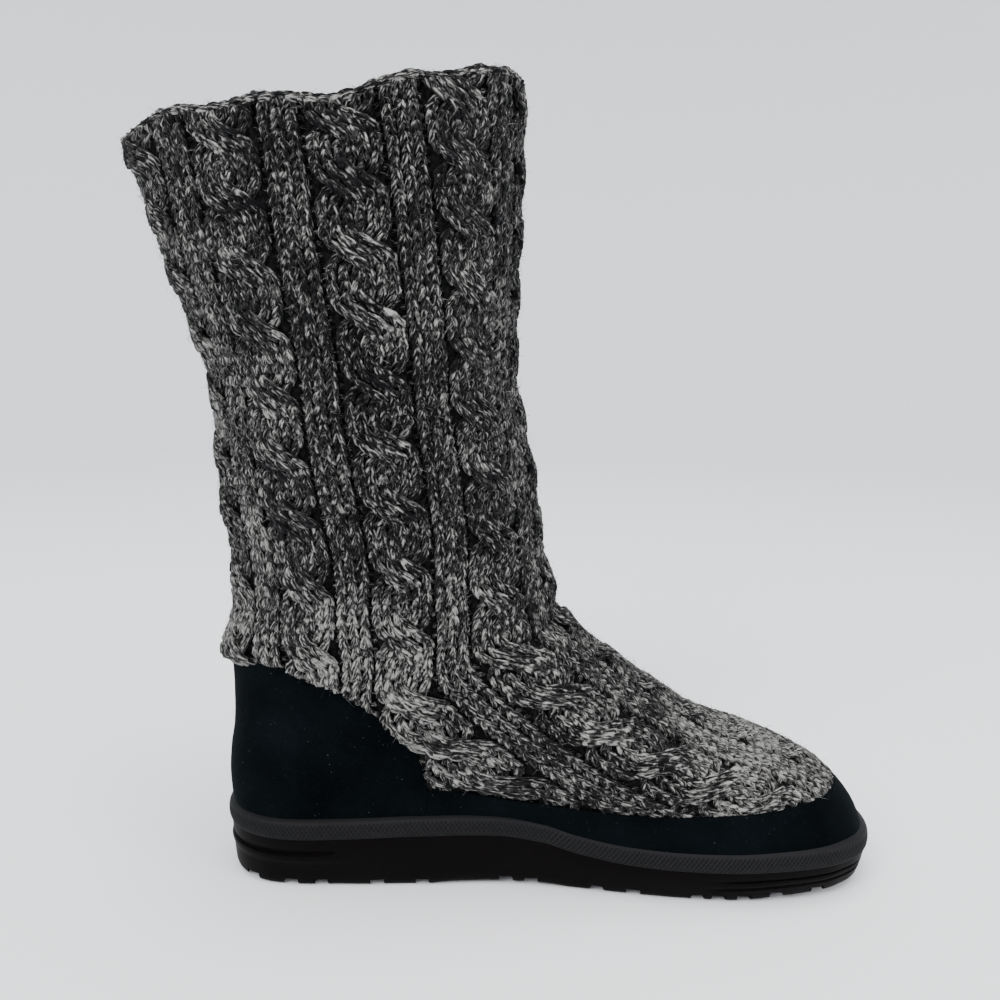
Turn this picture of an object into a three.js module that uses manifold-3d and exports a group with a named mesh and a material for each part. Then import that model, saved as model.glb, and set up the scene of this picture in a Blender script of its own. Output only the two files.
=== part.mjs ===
// Left mukluk boot: knitted upper, suede counter and rand, foxing band, outsole and insole.
// Millimetres, +X to the toe, +Y to the outer side of the foot, +Z up.
// The floor is Z = 0 and the origin lies under the heel.
import * as THREE from 'three';
import Module from 'manifold-3d';

const wasm = await Module();
wasm.setup();

// Driving sizes of the boot
const soleLength = 276;
const ballWidth = 97;
const rimFront = 325;
const rimBack = 301;
const rimBow = -1.5;
const heelRestX = 55;

// Walls and clearances
const clearance = 0.3;
const knitThickness = 4.5;
const linerThickness = 2.0;
const suedeThickness = 1.5;
const counterHeight = 96;
const randHeight = 40;
const channelDepth = 2.0;
const cableHeight = 1.0;

// Rises between which the knit's relief fades in, and up to which every inner ring is kept
const reliefFrom = 0.26;
const reliefFull = 0.36;
const footRise = 0.16;

// Share of the sole's bend that the plain oval of the leg takes, and the rim's rounding as a
// share of the leg's height
const legBend = 0.35;
const rimRound = 0.015;

// Foxing band
const bandHeight = 8.4;
const bandDepth = 3.2;
const bandStep = 1.3;

// Outsole
const soleHeight = 24;
const sideTaper = 5.0;
const taperPower = 1.6;
const edgeRound = 1.6;
const sideGrooveDepth = 0.9;
const lugGrooveWidth = 5.6;
const lugGrooveDepth = 3.2;
const lugGrooveFlare = 0.5;
const insoleThickness = 4.0;

// Where along the sole the heel's side groove fades out and the toe's grooves fade in
const heelGrooveEnd = { from: 0.17, to: 0.20 };
const toeGrooveStart = { from: 0.72, to: 0.78 };

// A height safely under the floor, for the ends of cutting prisms
const underFloor = -10;

// How far a facet may lie off its surface after thinning
const meshTolerance = 0.07;

// Knit pattern round the leg: one repeat is a cable, a channel, a rib and a channel
const knitRepeats = 9;
const stepsPerRepeat = 8;
const channelStep = 3;
const around = knitRepeats * stepsPerRepeat;

// Heights of the bed, where the upper meets the outsole, and of the tread, as shares of the
// sole's height, and how much of the side's taper is there
const bedHeights = [
  { length: -0.05, bed: 0.900, tread: 0.108, taper: 0.30 },
  { length: 0.00, bed: 0.900, tread: 0.067, taper: 0.30 },
  { length: 0.05, bed: 0.908, tread: 0.017, taper: 0.40 },
  { length: 0.10, bed: 0.917, tread: 0.000, taper: 0.70 },
  { length: 0.20, bed: 0.967, tread: 0.000, taper: 1.00 },
  { length: 0.31, bed: 1.012, tread: 0.000, taper: 1.00 },
  { length: 0.36, bed: 1.025, tread: 0.037, taper: 1.00 },
  { length: 0.42, bed: 1.017, tread: 0.046, taper: 1.00 },
  { length: 0.49, bed: 0.925, tread: 0.037, taper: 1.00 },
  { length: 0.54, bed: 0.775, tread: 0.000, taper: 1.00 },
  { length: 0.62, bed: 0.650, tread: 0.000, taper: 1.00 },
  { length: 0.70, bed: 0.617, tread: 0.000, taper: 1.00 },
  { length: 0.77, bed: 0.620, tread: 0.000, taper: 1.00 },
  { length: 0.85, bed: 0.638, tread: 0.066, taper: 0.95 },
  { length: 0.91, bed: 0.638, tread: 0.098, taper: 0.80 },
  { length: 0.96, bed: 0.630, tread: 0.130, taper: 0.65 },
  { length: 1.00, bed: 0.622, tread: 0.165, taper: 0.55 },
  { length: 1.05, bed: 0.622, tread: 0.210, taper: 0.50 },
];

// Fullness of the outline and its bend to the outer side, as shares of the ball width
const footOutline = [
  { length: 0.00, fullness: 0.640, bend: 0.000 },
  { length: 0.06, fullness: 0.571, bend: 0.000 },
  { length: 0.12, fullness: 0.495, bend: 0.002 },
  { length: 0.20, fullness: 0.418, bend: 0.006 },
  { length: 0.30, fullness: 0.371, bend: 0.022 },
  { length: 0.40, fullness: 0.361, bend: 0.048 },
  { length: 0.50, fullness: 0.392, bend: 0.072 },
  { length: 0.60, fullness: 0.458, bend: 0.084 },
  { length: 0.70, fullness: 0.536, bend: 0.087 },
  { length: 0.80, fullness: 0.619, bend: 0.080 },
  { length: 0.88, fullness: 0.679, bend: 0.058 },
  { length: 0.94, fullness: 0.725, bend: 0.028 },
  { length: 1.00, fullness: 0.740, bend: -0.020 },
];

// Level outlines of the upper. Rise is a share of the way from bed to rim, back and front
// are shares of the sole length, half is the half width as a share of the ball width, and
// foot says how far the outline is that of the foot instead of a plain oval.
const upperLevels = [
  { rise: -0.03, back: 0.0051, front: 0.9965, half: 0.392, foot: 1.00 },
  { rise: 0.000, back: 0.0033, front: 0.9960, half: 0.392, foot: 1.00 },
  { rise: 0.018, back: 0.0022, front: 0.9948, half: 0.392, foot: 0.99 },
  { rise: 0.040, back: -0.0036, front: 0.9880, half: 0.392, foot: 0.97 },
  { rise: 0.075, back: -0.0058, front: 0.9600, half: 0.392, foot: 0.90 },
  { rise: 0.115, back: -0.0029, front: 0.8690, half: 0.392, foot: 0.75 },
  { rise: 0.150, back: 0.0029, front: 0.7590, half: 0.392, foot: 0.60 },
  { rise: 0.180, back: 0.0043, front: 0.7029, half: 0.397, foot: 0.48 },
  { rise: 0.210, back: 0.0043, front: 0.6522, half: 0.402, foot: 0.36 },
  { rise: 0.240, back: 0.0036, front: 0.6033, half: 0.412, foot: 0.26 },
  { rise: 0.270, back: 0.0036, front: 0.5525, half: 0.423, foot: 0.18 },
  { rise: 0.300, back: 0.0083, front: 0.5170, half: 0.438, foot: 0.12 },
  { rise: 0.340, back: 0.0181, front: 0.4986, half: 0.459, foot: 0.06 },
  { rise: 0.400, back: 0.0199, front: 0.4819, half: 0.490, foot: 0.00 },
  { rise: 0.470, back: 0.0109, front: 0.4728, half: 0.526, foot: 0.00 },
  { rise: 0.550, back: 0.0054, front: 0.4547, half: 0.567, foot: 0.00 },
  { rise: 0.630, back: 0.0036, front: 0.4395, half: 0.588, foot: 0.00 },
  { rise: 0.720, back: -0.0203, front: 0.4402, half: 0.588, foot: 0.00 },
  { rise: 0.820, back: -0.0580, front: 0.4442, half: 0.557, foot: 0.00 },
  { rise: 0.920, back: -0.0906, front: 0.4457, half: 0.505, foot: 0.00 },
  { rise: 1.000, back: -0.1159, front: 0.4464, half: 0.464, foot: 0.00 },
];

// Upper edge of the heel counter, back to front, and of the rand, counter to toe, as shares
// of the sole's length and of the counter's or the rand's height
const counterEdge = [
  { length: -0.204, height: 0.990 },
  { length: 0.000, height: 0.990 },
  { length: 0.081, height: 1.016 },
  { length: 0.137, height: 0.974 },
  { length: 0.209, height: 0.891 },
  { length: 0.255, height: 0.776 },
  { length: 0.301, height: 0.641 },
  { length: 0.317, height: 0.542 },
];
const randEdge = [
  { length: 0.317, height: 1.095 },
  { length: 0.458, height: 0.990 },
  { length: 0.611, height: 0.925 },
  { length: 0.774, height: 0.965 },
  { length: 0.916, height: 1.012 },
  { length: 1.120, height: 1.012 },
];

// Cross grooves of the tread, with the turn of each to the cross line in degrees
const lugGrooves = [
  { length: 0.051, turn: 0 },
  { length: 0.102, turn: 6 },
  { length: 0.167, turn: -6 },
  { length: 0.232, turn: 6 },
  { length: 0.318, turn: -6 },
  { length: 0.429, turn: 5 },
  { length: 0.481, turn: -5 },
  { length: 0.562, turn: 6 },
  { length: 0.637, turn: -6 },
  { length: 0.707, turn: 6 },
  { length: 0.750, turn: 0 },
  { length: 0.787, turn: 0 },
  { length: 0.849, turn: -6 },
  { length: 0.900, turn: 0 },
];

// Steps of the outsole's side, bottom to top: height share, groove at the heel, grooves at the toe
const sideSteps = [
  { rise: -0.40, heel: 0.0, toe: 0.0 },
  { rise: 0.00, heel: 0.0, toe: 0.0 },
  { rise: 0.08, heel: 0.0, toe: 0.0 },
  { rise: 0.40, heel: 0.0, toe: 0.0 },
  { rise: 0.46, heel: 0.0, toe: 1.0 },
  { rise: 0.52, heel: 0.0, toe: 0.0 },
  { rise: 0.64, heel: -0.6, toe: 0.0 },
  { rise: 0.71, heel: 1.0, toe: 1.0 },
  { rise: 0.78, heel: 0.2, toe: 0.0 },
  { rise: 1.00, heel: 0.0, toe: 0.0 },
  { rise: 1.50, heel: 0.0, toe: 0.0 },
];

// Smooth value of one column of a table at a place along its key column
function tableValue(rows, key, column, place) {
  let last = rows.length - 2;
  while (last > 0 && rows[last][key] > place) {
    last -= 1;
  }
  const a = rows[last];
  const b = rows[last + 1];
  const before = rows[Math.max(last - 1, 0)];
  const after = rows[Math.min(last + 2, rows.length - 1)];
  const span = b[key] - a[key];
  const t = THREE.MathUtils.clamp((place - a[key]) / span, 0, 1);
  const slopeA = limitedSlope(before, a, b, key, column) * span;
  const slopeB = limitedSlope(a, b, after, key, column) * span;
  const t2 = t * t;
  const t3 = t2 * t;
  return a[column] * (2 * t3 - 3 * t2 + 1) + slopeA * (t3 - 2 * t2 + t)
    + b[column] * (3 * t2 - 2 * t3) + slopeB * (t3 - t2);
}

// Slope at the middle one of three rows, never so steep that the curve overshoots
function limitedSlope(before, here, after, key, column) {
  const left = here[key] - before[key];
  const right = after[key] - here[key];
  if (left <= 0 || right <= 0) {
    return 0;
  }
  const risingLeft = (here[column] - before[column]) / left;
  const risingRight = (after[column] - here[column]) / right;
  if (risingLeft * risingRight <= 0) {
    return 0;
  }
  return 2 * risingLeft * risingRight / (risingLeft + risingRight);
}

const bedAt = (x) => tableValue(bedHeights, 'length', 'bed', x / soleLength) * soleHeight;
const taperAt = (x) => tableValue(bedHeights, 'length', 'taper', x / soleLength) * sideTaper;
const treadAt = (x) => tableValue(bedHeights, 'length', 'tread', x / soleLength) * soleHeight;

// The rim rises from back to front with a slight bow
function rimAt(x) {
  const last = upperLevels[upperLevels.length - 1];
  const share = (x / soleLength - last.back) / (last.front - last.back);
  const bow = rimBow * Math.sin(Math.PI * THREE.MathUtils.clamp(share, 0, 1));
  return THREE.MathUtils.lerp(rimBack, rimFront, share) + bow;
}

// A level outline: turn 0 is its front, a quarter turn the outer side, half a turn its back
class LevelOutline extends THREE.Curve {
  constructor(back, front, halfWidth, foot, heightAt) {
    super();
    this.back = back;
    this.front = front;
    this.halfWidth = halfWidth;
    this.foot = foot;
    this.heightAt = heightAt;
    this.arcLengthDivisions = 6 * around;
  }

  getPoint(turn, target = new THREE.Vector3()) {
    const angle = 2 * Math.PI * turn;
    const share = 0.5 + 0.5 * Math.cos(angle);
    const x = THREE.MathUtils.lerp(this.back, this.front, share);
    const footHalf = tableValue(footOutline, 'length', 'fullness', share) * ballWidth;
    const half = THREE.MathUtils.lerp(this.halfWidth, footHalf, this.foot);
    const bend = tableValue(footOutline, 'length', 'bend', x / soleLength) * ballWidth;
    const y = half * Math.sin(angle) + bend * THREE.MathUtils.lerp(legBend, 1, this.foot);
    return target.set(x, y, this.heightAt(x));
  }
}

// The outline of the upper at one rise, spaced evenly from the front
function upperRing(rise) {
  const back = tableValue(upperLevels, 'rise', 'back', rise) * soleLength;
  const front = tableValue(upperLevels, 'rise', 'front', rise) * soleLength;
  const half = tableValue(upperLevels, 'rise', 'half', rise) * ballWidth;
  const foot = tableValue(upperLevels, 'rise', 'foot', rise);
  const heightAt = (x) => THREE.MathUtils.lerp(bedAt(x), rimAt(x), rise);
  return new LevelOutline(back, front, half, foot, heightAt).getSpacedPoints(around).slice(0, around);
}

// The outline of the sole, drawn in by an inset, at a height given along the sole
function soleRing(insetAt, heightAt) {
  const outline = new LevelOutline(0, soleLength, 0, 1, () => 0);
  const points = outline.getSpacedPoints(around).slice(0, around);
  return points.map((point, i) => {
    const next = points[(i + 1) % around];
    const previous = points[(i + around - 1) % around];
    const outward = new THREE.Vector3(next.y - previous.y, previous.x - next.x, 0).normalize();
    const moved = point.clone().addScaledVector(outward, -insetAt(point.x));
    moved.z = heightAt(moved.x);
    return moved;
  });
}

// Outward directions at every point of a stack of rings
function ringNormals(rings) {
  return rings.map((ring, k) => ring.map((point, i) => {
    const above = rings[Math.min(k + 1, rings.length - 1)][i];
    const below = rings[Math.max(k - 1, 0)][i];
    const along = ring[(i + 1) % around].clone().sub(ring[(i + around - 1) % around]);
    return along.cross(above.clone().sub(below)).normalize();
  }));
}

// A closed mesh from stacked rings: looped joins the last ring to the first, else the ends are capped
function ringSolid(rings, looped) {
  const count = rings[0].length;
  const points = rings.flat();
  const triangles = [];
  const strips = looped ? rings.length : rings.length - 1;
  for (let k = 0; k < strips; k += 1) {
    const lower = k * count;
    const upper = ((k + 1) % rings.length) * count;
    for (let i = 0; i < count; i += 1) {
      const j = (i + 1) % count;
      triangles.push(lower + i, lower + j, upper + j);
      triangles.push(lower + i, upper + j, upper + i);
    }
  }
  if (!looped) {
    const top = (rings.length - 1) * count;
    const bottomCentre = points.push(middleOf(rings[0])) - 1;
    const topCentre = points.push(middleOf(rings[rings.length - 1])) - 1;
    for (let i = 0; i < count; i += 1) {
      const j = (i + 1) % count;
      triangles.push(bottomCentre, j, i);
      triangles.push(topCentre, top + i, top + j);
    }
  }
  return toManifold(points, triangles);
}

function middleOf(ring) {
  const sum = ring.reduce((total, point) => total.add(point), new THREE.Vector3());
  return sum.divideScalar(ring.length);
}

function toManifold(points, triangles) {
  const mesh = new wasm.Mesh({
    numProp: 3,
    vertProperties: new Float32Array(points.flatMap((point) => [point.x, point.y, point.z])),
    triVerts: new Uint32Array(triangles),
  });
  return new wasm.Manifold(mesh);
}

// A prism across the whole boot from a side view drawn in X and Z
function sidePrism(corners) {
  const halfDepth = 1.2 * ballWidth;
  const shape = new THREE.Shape(corners.map((corner) => new THREE.Vector2(corner.x, corner.z)));
  const geometry = new THREE.ExtrudeGeometry(shape, { depth: 2 * halfDepth, bevelEnabled: false });
  geometry.rotateX(Math.PI / 2);
  geometry.translate(0, halfDepth, 0);
  return geometryManifold(geometry);
}

function geometryManifold(geometry) {
  const keys = new Map();
  const points = [];
  const triangles = [];
  const position = geometry.getAttribute('position');
  const order = geometry.index ? geometry.index.array : [...Array(position.count).keys()];
  for (const k of order) {
    const point = new THREE.Vector3().fromBufferAttribute(position, k);
    const name = `${point.x.toFixed(4)},${point.y.toFixed(4)},${point.z.toFixed(4)}`;
    if (!keys.has(name)) {
      keys.set(name, points.push(point) - 1);
    }
    triangles.push(keys.get(name));
  }
  return toManifold(points, triangles);
}

const bedSteps = 42;
const lengthSteps = [...Array(bedSteps + 1).keys()].map((k) => (-0.2 + 1.4 * k / bedSteps) * soleLength);

// Everything above the bed, or between two heights over it
function overBed(low, high) {
  const lower = lengthSteps.map((x) => ({ x, z: bedAt(x) + low }));
  const upper = lengthSteps.map((x) => ({ x, z: bedAt(x) + high })).reverse();
  return sidePrism([...lower, ...upper]);
}

// Relief of the knit: the cable is raised, the rib is level and the channels are sunk
function knitRelief(index, rise) {
  const place = index % stepsPerRepeat;
  const fromCable = Math.min(place, stepsPerRepeat - place);
  const shaftShare = THREE.MathUtils.smoothstep(rise, reliefFrom, reliefFull);
  if (fromCable === channelStep) {
    return -channelDepth * shaftShare;
  }
  if (fromCable < channelStep) {
    return cableHeight * shaftShare * (1 - fromCable / channelStep);
  }
  return 0;
}

const upperRises = [
  -0.03, 0.018, 0.038, 0.058, 0.08, 0.104, 0.128, 0.154, 0.18, 0.206, 0.236,
  0.27, 0.31, 0.36, 0.43, 0.52, 0.62, 0.72, 0.82, 0.92, 0.985,
];
const upperRings = upperRises.map(upperRing);
const upperNormals = ringNormals(upperRings);

// The upper's own function: its knit face moved in or out by an offset
function upperFace(offsetAt) {
  return upperRings.map((ring, k) => ring.map((point, i) => {
    return point.clone().addScaledVector(upperNormals[k][i], offsetAt(i, upperRises[k]));
  }));
}

const upperForm = (offset) => ringSolid(upperFace(() => offset), false);

// Total wall of the upper where it is knit
const knitWall = knitThickness + linerThickness;

function makeUpper() {
  const outside = upperFace(knitRelief);
  const inside = upperFace(() => -knitWall);
  const rimOut = outside[outside.length - 1];
  const rimIn = inside[inside.length - 1];
  const rimLift = rimRound * (rimFront - bedAt(0));
  const rim = [0.25, 0.75].map((share) => rimOut.map((point, i) => {
    const between = point.clone().lerp(rimIn[i], share);
    between.z += rimLift * Math.sin(Math.PI * share);
    return between;
  }));
  const innerRings = inside.filter((ring, k) => upperRises[k] < footRise || k % 2 === 1).reverse();
  const shell = ringSolid([...outside, ...rim, ...innerRings], true);
  const openEnds = shell.intersect(overBed(clearance, 2 * rimFront));
  const thinZone = suedeZone(clearance).subtract(upperForm(-knitThickness));
  return openEnds.subtract(thinZone);
}

// Side view of the counter and of the rand, grown by a margin
function counterZone(margin) {
  const edge = edgePoints(counterEdge, counterHeight, margin);
  edge.forEach((point) => {
    point.x += margin;
  });
  return underEdge(edge, edge[0].x - margin, edge[edge.length - 1].x);
}

function randZone(margin) {
  const start = counterEdge[counterEdge.length - 1].length * soleLength;
  const edge = edgePoints(randEdge, randHeight, margin);
  edge[0].x = start + clearance - margin;
  return underEdge(edge, edge[0].x, 1.1 * soleLength);
}

function edgePoints(rows, fullHeight, margin) {
  return rows.map((row) => ({ x: row.length * soleLength, z: row.height * fullHeight + margin }));
}

// The prism below a smoothed edge, from its back to its front
function underEdge(edge, back, front) {
  const curve = new THREE.SplineCurve(edge.map((point) => new THREE.Vector2(point.x, point.z)));
  const line = curve.getPoints(2 * edge.length).map((point) => ({ x: point.x, z: point.y }));
  return sidePrism([{ x: back, z: underFloor }, { x: front, z: underFloor }, ...line.reverse()]);
}

const suedeZone = (margin) => counterZone(margin).add(randZone(margin));

// Suede lies between two forms of the upper's function, cut to its zone
function makeSuede(zone) {
  const outer = upperForm(-knitThickness + clearance + suedeThickness);
  const inner = upperForm(-knitThickness + clearance);
  return outer.subtract(inner).intersect(zone).intersect(overBed(clearance, rimFront));
}

// Section of the foxing band: share of its height, and inset as a share of its depth
const bandSection = [
  { rise: 0.00, inset: 0.28 },
  { rise: 0.22, inset: 0.06 },
  { rise: 0.45, inset: 0.00 },
  { rise: 0.68, inset: 0.06 },
  { rise: 0.88, inset: 0.31 },
  { rise: 1.00, inset: 0.94 },
];

function makeBand() {
  const base = (x) => bedAt(x) + clearance;
  const outer = bandSection.map((row) => {
    return soleRing(() => row.inset * bandDepth, (x) => base(x) + row.rise * bandHeight);
  });
  const innerInset = 3 * bandDepth;
  const top = soleRing(() => innerInset, (x) => base(x) + bandHeight);
  const bottom = soleRing(() => innerInset, base);
  const ring = ringSolid([...outer, top, bottom], true);
  return ring.subtract(upperForm(-knitThickness + 2 * clearance + suedeThickness));
}

const smoothBetween = (share, ends) => THREE.MathUtils.smoothstep(share, ends.from, ends.to);

function makeOutsole() {
  const rings = sideSteps.map((step) => {
    const insetAt = (x) => {
      const share = x / soleLength;
      const heelGroove = step.heel * (1 - smoothBetween(share, heelGrooveEnd));
      const toeGroove = step.toe * smoothBetween(share, toeGrooveStart);
      const taper = taperAt(x) * Math.pow(1 - Math.min(Math.max(step.rise, 0), 1), taperPower);
      const round = step.rise <= 0 ? edgeRound : 0;
      return bandStep + taper + round + sideGrooveDepth * (heelGroove + toeGroove);
    };
    return soleRing(insetAt, (x) => THREE.MathUtils.lerp(treadAt(x), bedAt(x), step.rise));
  });
  const lower = lengthSteps.map((x) => ({ x, z: treadAt(x) }));
  const upper = lengthSteps.map((x) => ({ x, z: bedAt(x) })).reverse();
  const block = ringSolid(rings, false).intersect(sidePrism([...lower, ...upper]));
  const cuts = lugGrooves.map(makeLugGroove);
  return block.subtract(cuts.reduce((all, cut) => all.add(cut)));
}

// One cross groove of the tread, wider at its mouth
function makeLugGroove(groove) {
  const x = groove.length * soleLength;
  const top = treadAt(x) + lugGrooveDepth;
  const half = lugGrooveWidth / 2;
  const mouth = half + lugGrooveFlare;
  const shape = new THREE.Shape();
  shape.moveTo(-mouth, underFloor);
  shape.lineTo(mouth, underFloor);
  shape.lineTo(mouth, top - lugGrooveDepth);
  shape.lineTo(half, top);
  shape.lineTo(-half, top);
  shape.lineTo(-mouth, top - lugGrooveDepth);
  const geometry = new THREE.ExtrudeGeometry(shape, { depth: 2 * ballWidth, bevelEnabled: false });
  geometry.rotateX(Math.PI / 2);
  geometry.translate(0, ballWidth, 0);
  geometry.rotateZ(THREE.MathUtils.degToRad(groove.turn));
  geometry.translate(x, 0, 0);
  return geometryManifold(geometry);
}

function makeInsole() {
  return upperForm(-knitWall - clearance).intersect(overBed(clearance, clearance + insoleThickness));
}

const group = new THREE.Group();
group.name = 'mukluk_boot';

function addPart(name, solid, color, roughness) {
  const mesh = solid.simplify(meshTolerance).getMesh();
  const geometry = new THREE.BufferGeometry();
  geometry.setAttribute('position', new THREE.BufferAttribute(new Float32Array(mesh.vertProperties), 3));
  geometry.setIndex(new THREE.BufferAttribute(new Uint32Array(mesh.triVerts), 1));
  geometry.translate(-heelRestX, 0, 0);
  geometry.computeVertexNormals();
  const material = new THREE.MeshStandardMaterial({ color, roughness, metalness: 0 });
  const part = new THREE.Mesh(geometry, material);
  part.name = name;
  group.add(part);
}

addPart('upper', makeUpper(), 0x6b6a68, 0.95);
addPart('heel_counter', makeSuede(counterZone(0)), 0x0a0e10, 0.9);
addPart('toe_rand', makeSuede(randZone(0)), 0x0a0e10, 0.9);
addPart('foxing_band', makeBand(), 0x3a3a3c, 0.7);
addPart('outsole', makeOutsole(), 0x241f1e, 0.6);
addPart('insole', makeInsole(), 0x9a958c, 0.95);

export default group;
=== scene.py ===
# Left mukluk boot: cable-knit leg, suede counter and rand, foxing band, moulded sole
import math
import bmesh
import bpy
import numpy as np
from mathutils import Matrix, Vector, kdtree


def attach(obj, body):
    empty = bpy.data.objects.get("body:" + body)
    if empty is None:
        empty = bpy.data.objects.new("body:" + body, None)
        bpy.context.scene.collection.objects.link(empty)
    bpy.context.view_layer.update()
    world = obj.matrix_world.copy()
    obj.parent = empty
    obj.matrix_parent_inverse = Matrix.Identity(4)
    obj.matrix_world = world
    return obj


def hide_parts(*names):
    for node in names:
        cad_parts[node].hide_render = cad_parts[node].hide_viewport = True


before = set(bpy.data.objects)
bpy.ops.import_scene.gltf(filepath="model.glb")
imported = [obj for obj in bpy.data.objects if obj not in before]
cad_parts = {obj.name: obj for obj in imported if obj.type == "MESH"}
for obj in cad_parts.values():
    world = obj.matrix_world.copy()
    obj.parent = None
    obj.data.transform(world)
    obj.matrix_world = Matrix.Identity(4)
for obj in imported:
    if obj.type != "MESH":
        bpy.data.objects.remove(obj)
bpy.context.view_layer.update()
mm = 0.001
seedBase = 41
print("frame loaded")

# the same sizes as the solids, in millimetres from the back of the heel
boot = {
    "soleLength": 276.0, "ballWidth": 97.0, "rimFront": 325.0, "rimBack": 301.0, "rimBow": -1.5,
    "soleHeight": 24.0, "heelRest": 55.0, "counterHeight": 96.0, "randHeight": 40.0, "gap": 0.3,
    "legBend": 0.35,
}
soleLength = boot["soleLength"]
ballWidth = boot["ballWidth"]

# share of the sole's length: height of the bed, height of the tread, share of the side's taper
bedTable = np.array([
    (-0.05, 0.900, 0.108, 0.30), (0.00, 0.900, 0.067, 0.30), (0.05, 0.908, 0.017, 0.40),
    (0.10, 0.917, 0.000, 0.70), (0.20, 0.967, 0.000, 1.00), (0.31, 1.012, 0.000, 1.00),
    (0.36, 1.025, 0.037, 1.00), (0.42, 1.017, 0.046, 1.00), (0.49, 0.925, 0.037, 1.00),
    (0.54, 0.775, 0.000, 1.00), (0.62, 0.650, 0.000, 1.00), (0.70, 0.617, 0.000, 1.00),
    (0.77, 0.620, 0.000, 1.00), (0.85, 0.638, 0.066, 0.95), (0.91, 0.638, 0.098, 0.80),
    (0.96, 0.630, 0.130, 0.65), (1.00, 0.622, 0.165, 0.55), (1.05, 0.622, 0.210, 0.50),
])

# share of the sole's length: fullness of the outline and its bend outwards, of the ball width
footTable = np.array([
    (0.00, 0.640, 0.000), (0.06, 0.571, 0.000), (0.12, 0.495, 0.002), (0.20, 0.418, 0.006),
    (0.30, 0.371, 0.022), (0.40, 0.361, 0.048), (0.50, 0.392, 0.072), (0.60, 0.458, 0.084),
    (0.70, 0.536, 0.087), (0.80, 0.619, 0.080), (0.88, 0.679, 0.058), (0.94, 0.725, 0.028),
    (1.00, 0.740, -0.020),
])

# rise from bed to rim: back and front of the sole's length, half width, share of foot shape
levelTable = np.array([
    (-0.030, 0.0051, 0.9965, 0.392, 1.00), (0.000, 0.0033, 0.9960, 0.392, 1.00),
    (0.018, 0.0022, 0.9948, 0.392, 0.99), (0.040, -0.0036, 0.9880, 0.392, 0.97),
    (0.075, -0.0058, 0.9600, 0.392, 0.90), (0.115, -0.0029, 0.8690, 0.392, 0.75),
    (0.150, 0.0029, 0.7590, 0.392, 0.60), (0.180, 0.0043, 0.7029, 0.397, 0.48),
    (0.210, 0.0043, 0.6522, 0.402, 0.36), (0.240, 0.0036, 0.6033, 0.412, 0.26),
    (0.270, 0.0036, 0.5525, 0.423, 0.18), (0.300, 0.0083, 0.5170, 0.438, 0.12),
    (0.340, 0.0181, 0.4986, 0.459, 0.06), (0.400, 0.0199, 0.4819, 0.490, 0.00),
    (0.470, 0.0109, 0.4728, 0.526, 0.00), (0.550, 0.0054, 0.4547, 0.567, 0.00),
    (0.630, 0.0036, 0.4395, 0.588, 0.00), (0.720, -0.0203, 0.4402, 0.588, 0.00),
    (0.820, -0.0580, 0.4442, 0.557, 0.00), (0.920, -0.0906, 0.4457, 0.505, 0.00),
    (1.000, -0.1159, 0.4464, 0.464, 0.00),
])

# upper edges of the suede: share of the sole's length, share of the counter's or rand's height
counterTable = np.array([
    (-0.204, 0.990), (0.000, 0.990), (0.081, 1.016), (0.137, 0.974), (0.209, 0.891),
    (0.255, 0.776), (0.301, 0.641), (0.317, 0.542),
])
randTable = np.array([
    (0.317, 1.095), (0.458, 0.990), (0.611, 0.925), (0.774, 0.965), (0.916, 1.013), (1.120, 1.013),
])


# a smooth curve through one column of a table, which never passes its entries
def smoothTable(table, column, places):
    keys = table[:, 0]
    values = table[:, column]
    gaps = np.diff(keys)
    rises = np.diff(values) / gaps
    product = rises[:-1] * rises[1:]
    total = np.where(product > 0, rises[:-1] + rises[1:], 1.0)
    slopes = np.zeros(len(keys))
    slopes[1:-1] = np.where(product > 0, 2 * product / total, 0.0)
    places = np.clip(places, keys[0], keys[-1])
    at = np.clip(np.searchsorted(keys, places, side="right") - 1, 0, len(gaps) - 1)
    t = (places - keys[at]) / gaps[at]
    start = values[at] * (2 * t ** 3 - 3 * t ** 2 + 1)
    start = start + slopes[at] * gaps[at] * (t ** 3 - 2 * t ** 2 + t)
    end = values[at + 1] * (3 * t ** 2 - 2 * t ** 3)
    end = end + slopes[at + 1] * gaps[at] * (t ** 3 - t ** 2)
    return start + end


def smoothStep(low, high, value):
    t = np.clip((value - low) / (high - low), 0.0, 1.0)
    return t * t * (3 - 2 * t)


def bedAt(x):
    return smoothTable(bedTable, 1, x / soleLength) * boot["soleHeight"]


def treadAt(x):
    return smoothTable(bedTable, 2, x / soleLength) * boot["soleHeight"]


def rimAt(x):
    back = levelTable[-1, 1]
    front = levelTable[-1, 2]
    share = (x / soleLength - back) / (front - back)
    bow = boot["rimBow"] * np.sin(np.pi * np.clip(share, 0, 1))
    return boot["rimBack"] + (boot["rimFront"] - boot["rimBack"]) * share + bow


# a point of the upper's knit face: rise from bed to rim, turn round from the front
def upperPoint(rise, turn):
    back = smoothTable(levelTable, 1, rise) * soleLength
    front = smoothTable(levelTable, 2, rise) * soleLength
    plain = smoothTable(levelTable, 3, rise) * ballWidth
    foot = smoothTable(levelTable, 4, rise)
    angle = 2 * np.pi * turn
    share = 0.5 + 0.5 * np.cos(angle)
    x = back + (front - back) * share
    full = smoothTable(footTable, 1, share) * ballWidth
    bend = smoothTable(footTable, 2, x / soleLength) * ballWidth
    bend = bend * (boot["legBend"] + (1 - boot["legBend"]) * foot)
    y = (plain + (full - plain) * foot) * np.sin(angle) + bend
    z = bedAt(x) + (rimAt(x) - bedAt(x)) * rise
    return np.stack([x, y, z], axis=-1)


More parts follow.
